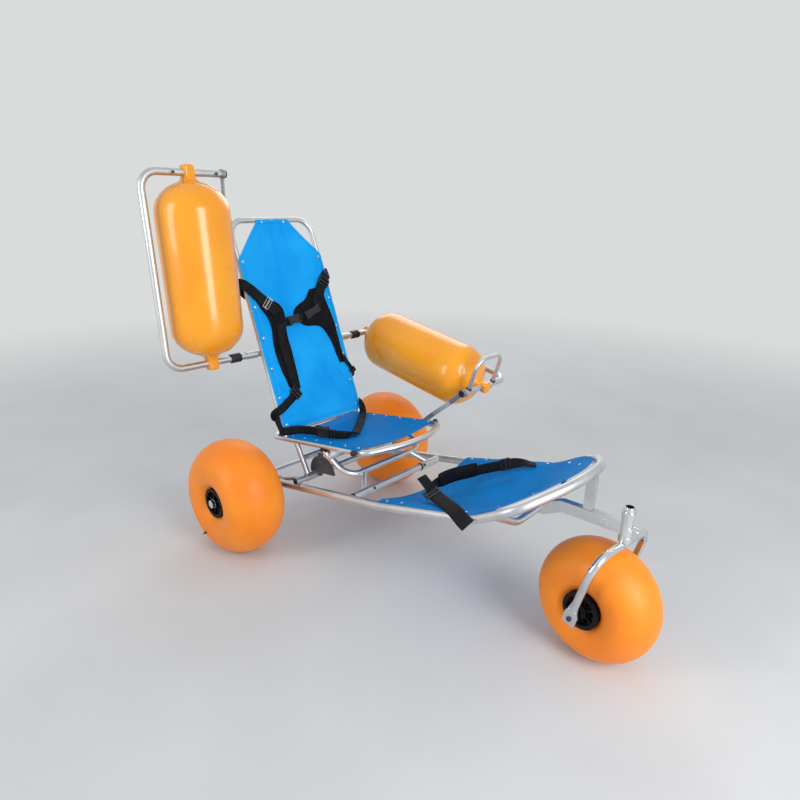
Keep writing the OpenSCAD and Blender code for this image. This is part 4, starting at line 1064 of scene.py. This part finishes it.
# floats: one blown body with domed ends and a squared eye round each arm tube, copied to both arms
floats = {
    "pivot": (-122.91, 803.93), "apart": 737, "side": 456, "radius": 143.9, "domeStart": 30, "domeDeep": 118,
    "domeFrom": 17, "domeSteps": 8, "barrel": (200, 280), "segments": 32, "bore": 14.3, "boreDeep": 90,
    "turns": {"right": -94.9, "left": 10.6}, "squared": (12, 32),
    # distance from the arm tube's centre, half width
    "eye": [(-29, 0), (-29, 13), (-27.5, 19.5), (-23, 23.5), (-10, 22.4), (8, 22.4), (19, 24.5), (26, 30)]}


def armPlace(side):  # the arm's own frame: x from the pivot to the front tube
    return (Matrix.Translation(rowPoint(floats["pivot"][0], 0, floats["pivot"][1]))
            @ Matrix.Rotation(math.radians(floats["turns"][side]), 4, "Y"))


def blownFloat():
    near, radius, apart = list(floats["eye"]), floats["radius"], floats["apart"]
    for k in range(floats["domeSteps"] + 1):
        t = math.radians(floats["domeFrom"] + (90 - floats["domeFrom"]) * k / floats["domeSteps"])
        near.append((floats["domeStart"] + floats["domeDeep"] * (1 - math.cos(t)), radius * math.sin(t)))
    near += [(u, radius) for u in floats["barrel"]]
    body = spunBody(near + [(apart - u, r) for u, r in reversed(near)], floats["segments"])
    squareTo, roundFrom = floats["squared"]
    for vert in body.data.vertices:  # the eyes are squared, the domes stay round
        u = min(vert.co.x, apart / 1000 - vert.co.x) * 1000
        r = math.hypot(vert.co.y, vert.co.z)
        if u < roundFrom and r > 0:
            square = (abs(vert.co.y / r) ** 5 + abs(vert.co.z / r) ** 5) ** -0.2
            grow = 1 + (square - 1) * (1 - smoothStep(squareTo, roundFrom, u))
            vert.co.y, vert.co.z = vert.co.y * grow, vert.co.z * grow
    applyModifier(body, "SUBSURF", levels=2, render_levels=2)
    for u in (0, apart):
        drill = startDrum(64, floats["bore"] / 1000, floats["boreDeep"] / 1000, (u / 1000, 0, 0),
                          (math.pi / 2, 0, 0))
        applyModifier(body, "BOOLEAN", operation="DIFFERENCE", object=drill, solver="EXACT")
        bpy.data.objects.remove(drill)
    smoothPiece(body)
    body.data.materials.append(amberPolyethylene)
    return body


sides = {"right": -1, "left": 1}
floatModel = blownFloat()
for side, sign in sides.items():
    place = armPlace(side) @ Matrix.Translation((0, sign * floats["side"] / 1000, 0))
    settle(copyTo(floatModel, side + "Float", place), side + "_float_arm", [side + "_float"])
bpy.data.objects.remove(floatModel)
print("floats blown and threaded on the arms")

# caster: flattened fork ends and the axle between them
caster = {
    "head": 1478, "steer": -6.8, "trail": 60, "axleHigh": 210, "rake": 14.26, "half": 160,
    "end": (46.6, 10.6, 62), "endMiddle": 8, "shoulder": 12, "neck": (0.64, 1.5, 1), "ease": 0.0022}
# distance from the wheel's middle, radius
axleHalf = [(107.5, 10), (107.5, 15), (155.4, 15), (155.4, 10), (165.3, 10), (165.3, 0)]
axleCut = {
    "outline": [(-u, r) for u, r in reversed(axleHalf)] + [(0, 10)] + axleHalf,
    "segments": 40, "ease": 0.0005}
axlePlace = (Matrix.Translation(rowPoint(caster["head"], 0, 0))
             @ Matrix.Rotation(math.radians(caster["steer"]), 4, "Z")
             @ Matrix.Translation((-caster["trail"] / 1000, 0, caster["axleHigh"] / 1000)))
forkPlace = axlePlace @ Matrix.Rotation(math.radians(caster["rake"]), 4, "Y")
forkEnd = startBlock([k / 1000 for k in caster["end"]])
cutAcross(2, [caster["shoulder"] / 1000])
pickVerts(forkEnd, lambda c: c.z > (caster["shoulder"] + 1) / 1000)
bpy.ops.transform.resize(value=caster["neck"])  # drawn in to the round tube
rounded(forkEnd, caster["ease"], 3, 30)
forkEnd.data.materials.append(polishedStainless)
endPlaces = [forkPlace @ Matrix.Translation((0, k * caster["half"] / 1000, caster["endMiddle"] / 1000))
             for k in (-1, 1)]
settle(copies(forkEnd, "forkEnds", endPlaces), "caster_fork")
bpy.data.objects.remove(forkEnd)
axleModel = spunPart(axleCut, polishedStainless)
frontAxle = copyTo(axleModel, "frontAxle", axlePlace @ Matrix.Rotation(math.pi / 2, 4, "Z"))
settle(frontAxle, "caster_fork", ["front_axle"])
bpy.data.objects.remove(axleModel)

# dark socket bolts: one head modelled and set on the fork, the hand loops and the seat legs' sleeves
bolt = {
    "outline": [(-1, 0), (-1, 6.2), (2.4, 6.2), (3.2, 5.4), (3.2, 3.2), (1.0, 3.2), (1.0, 0)],
    "segments": 24, "ease": 0.0003, "forkGrow": 1.4, "loops": (345, 525), "loopLean": 7, "loopFace": 20,
    "sleeve": 34, "tilt": (0.83, 0, 0.56), "sleeves": {"front_cross_tube": 155, "rear_cross_tube": 163}}
boltHead = spunPart(bolt, darkPaint)


def boltSet(name, body, places):  # places are matrices with x out of the surface
    settle(copies(boltHead, name, places), body)


forkFace = (caster["half"] + caster["end"][1] / 2) / 1000
boltSet("forkBolts", "caster_fork",
        [axlePlace @ Matrix.Translation((0, k * forkFace, 0)) @ Matrix.Rotation(k * math.pi / 2, 4, "Z")
         @ Matrix.Scale(bolt["forkGrow"], 4) for k in (-1, 1)])
for side, sign in sides.items():
    loopPlace = (armPlace(side) @ Matrix.Translation((floats["apart"] / 1000, 0, 0))
                 @ Matrix.Rotation(math.radians(bolt["loopLean"]), 4, "Y"))
    boltSet(side + "LoopBolts", side + "_float_arm",
            [loopPlace @ Matrix.Translation((0, sign * y / 1000, -bolt["loopFace"] / 1000))
             @ Matrix.Rotation(math.pi / 2, 4, "Y") for y in bolt["loops"]])
sleevePlaces = []
boltOut = Vector(bolt["tilt"]).normalized()
for name, y in bolt["sleeves"].items():
    middle = boxOf(name)[2]
    for k in (-1, 1):
        face = Vector((middle.x, k * y / 1000, middle.z)) + boltOut * bolt["sleeve"] / 2000
        sleevePlaces.append(placed(face, boltOut, Vector((0, 1, 0))))
boltSet("sleeveBolts", "frame", sleevePlaces)
bpy.data.objects.remove(boltHead)

# black plugs in the ends of the rear cross tube
plug = {
    "outline": [(-8, 0), (-8, 10), (-0.5, 10), (-0.5, 13.4), (1.6, 13.4), (2.6, 12.2), (2.6, 0)],
    "segments": 40, "ease": 0.0004}
plugModel = spunPart(plug, blackPlastic)
low, high, middle = boxOf("rear_cross_tube")
plugPlaces = [Matrix.Translation((middle.x, end, middle.z))
              @ Matrix.Rotation(math.copysign(math.pi / 2, end), 4, "Z") for end in (low.y, high.y)]
settle(copies(plugModel, "crossTubePlugs", plugPlaces), "frame")
bpy.data.objects.remove(plugModel)
print("fork ends, bolts and plugs set")

# raised ribs on the grip collar of each float arm, turned about the pivot tube
collar = {"from": 327, "to": 365, "count": 4, "radius": 18, "proud": 1.6, "wide": 5.5, "sides": 40}


def collarRibs(sign):
    rings = []
    for k in range(collar["count"]):
        y = sign * (collar["from"] + (collar["to"] - collar["from"]) * k / (collar["count"] - 1))
        middle = rowPoint(floats["pivot"][0], y, floats["pivot"][1])
        rings.append(ringBand(middle, collar["radius"], collar["wide"], collar["proud"], collar["sides"]))
    return rings


for side, sign in sides.items():
    settle(joinPieces(side + "CollarRibs", collarRibs(sign)), side + "_float_arm")

# inflation valve on the outer side of the right rear tyre; a step is inset and length
valve = {
    "place": (-40, -593, 102), "points": (-0.03, -0.99, -0.12), "foot": 0.0065, "footHigh": 0.004,
    "sides": 18, "steps": [(0.002, 0.0096), (0.001, 0.0048)], "ease": 0.0006}
stem = startDrum(valve["sides"], valve["foot"], valve["footHigh"])
bpy.ops.object.mode_set(mode="EDIT")
pickFaces(stem, lambda c, n: n.z > 0.9)
for inset, rise in valve["steps"]:
    bpy.ops.mesh.inset(thickness=inset)
    bpy.ops.mesh.extrude_region_move(TRANSFORM_OT_translate={"value": (0, 0, rise)})
rounded(stem, valve["ease"], 2, 30)
stem.data.materials.append(blackPlastic)
valvePlace = placed(rowPoint(*valve["place"]), Vector((1, 0, 0)), Vector(valve["points"]))
settle(copyTo(stem, "tyreValve", valvePlace), "right_wheel")
bpy.data.objects.remove(stem)
print("valve set in the tyre")

# floor and light
stage = {
    "near": ("#C9CBCD", "#D1D3D5"), "far": "#DADCDC", "fade": (1.8, 6.5), "air": "#E8EAEC", "level": 0.70,
    "floor": 60, "under": 0.0005}
bpy.ops.object.select_all(action="DESELECT")
bpy.ops.mesh.primitive_plane_add(size=stage["floor"], location=(0, 0, -stage["under"]))
floor = bpy.context.object
floor.name = "paleFloor"
paleFloor, floorTree, floorShader = newMaterial("paleFloor", Roughness=0.85, Specular_IOR_Level=0.2)
cloudyTone(floorTree, floorShader, 1.6, 4.0, *stage["near"])


def plainRays(tree):  # 1 for rays that show the background: from the camera, in metal and through glass
    rays = addNode(tree, "ShaderNodeLightPath").outputs
    shown = maths(tree, "MAXIMUM", rays["Is Camera Ray"], rays["Is Glossy Ray"])
    return maths(tree, "MAXIMUM", shown, rays["Is Transmission Ray"])


# the floor runs into the pale background far from the chair
floorPlace = addNode(floorTree, "ShaderNodeTexCoord").outputs["Object"]
reach = addNode(floorTree, "ShaderNodeVectorMath", {0: floorPlace}, operation="LENGTH").outputs["Value"]
fade = addNode(floorTree, "ShaderNodeMapRange", {"Value": reach, "From Min": stage["fade"][0],
                                                 "From Max": stage["fade"][1]},
               interpolation_type="SMOOTHSTEP").outputs["Result"]
fade = maths(floorTree, "MULTIPLY", fade, plainRays(floorTree))
pale = addNode(floorTree, "ShaderNodeEmission", {"Color": colour(stage["far"]), "Strength": 1.0})
floorMix = addNode(floorTree, "ShaderNodeMixShader",
                   {0: fade, 1: floorShader.outputs[0], 2: pale.outputs[0]})
feed(floorTree.nodes["Material Output"], "Surface", floorMix.outputs[0])
floor.data.materials.append(paleFloor)

world = bpy.data.worlds.new("studio")
scene.world = world
world.use_nodes = True
air = world.node_tree
sky = air.nodes["Background"]
sky.inputs["Color"].default_value = colour(stage["air"])
sky.inputs["Strength"].default_value = stage["level"]
seen = addNode(air, "ShaderNodeBackground", {"Color": colour(stage["far"]), "Strength": 1.0})
wall = addNode(air, "ShaderNodeMixShader", {0: plainRays(air), 1: sky.outputs[0], 2: seen.outputs[0]})
feed(air.nodes["World Output"], "Surface", wall.outputs[0])


def softLamp(name, place, aim, size, power):
    data = bpy.data.lights.new(name, "AREA")
    data.shape = "RECTANGLE"
    data.size, data.size_y = size
    data.energy = power
    lamp = bpy.data.objects.new(name, data)
    scene.collection.objects.link(lamp)
    lamp.location = place
    lamp.rotation_euler = (Vector(aim) - Vector(place)).to_track_quat("-Z", "Y").to_euler()


softLamp("windowLamp", (3.3, -0.7, 1.9), (0, 0, 0.6), (1.5, 2.2), 85)  # tall window on the camera's right
softLamp("fillLamp", (-1.2, -3.6, 2.2), (0, 0, 0.7), (1.2, 2.2), 40)
softLamp("rimLamp", (-2.6, 2.8, 2.8), (0, 0, 0.7), (3.0, 2.2), 34)
print("stage lit")
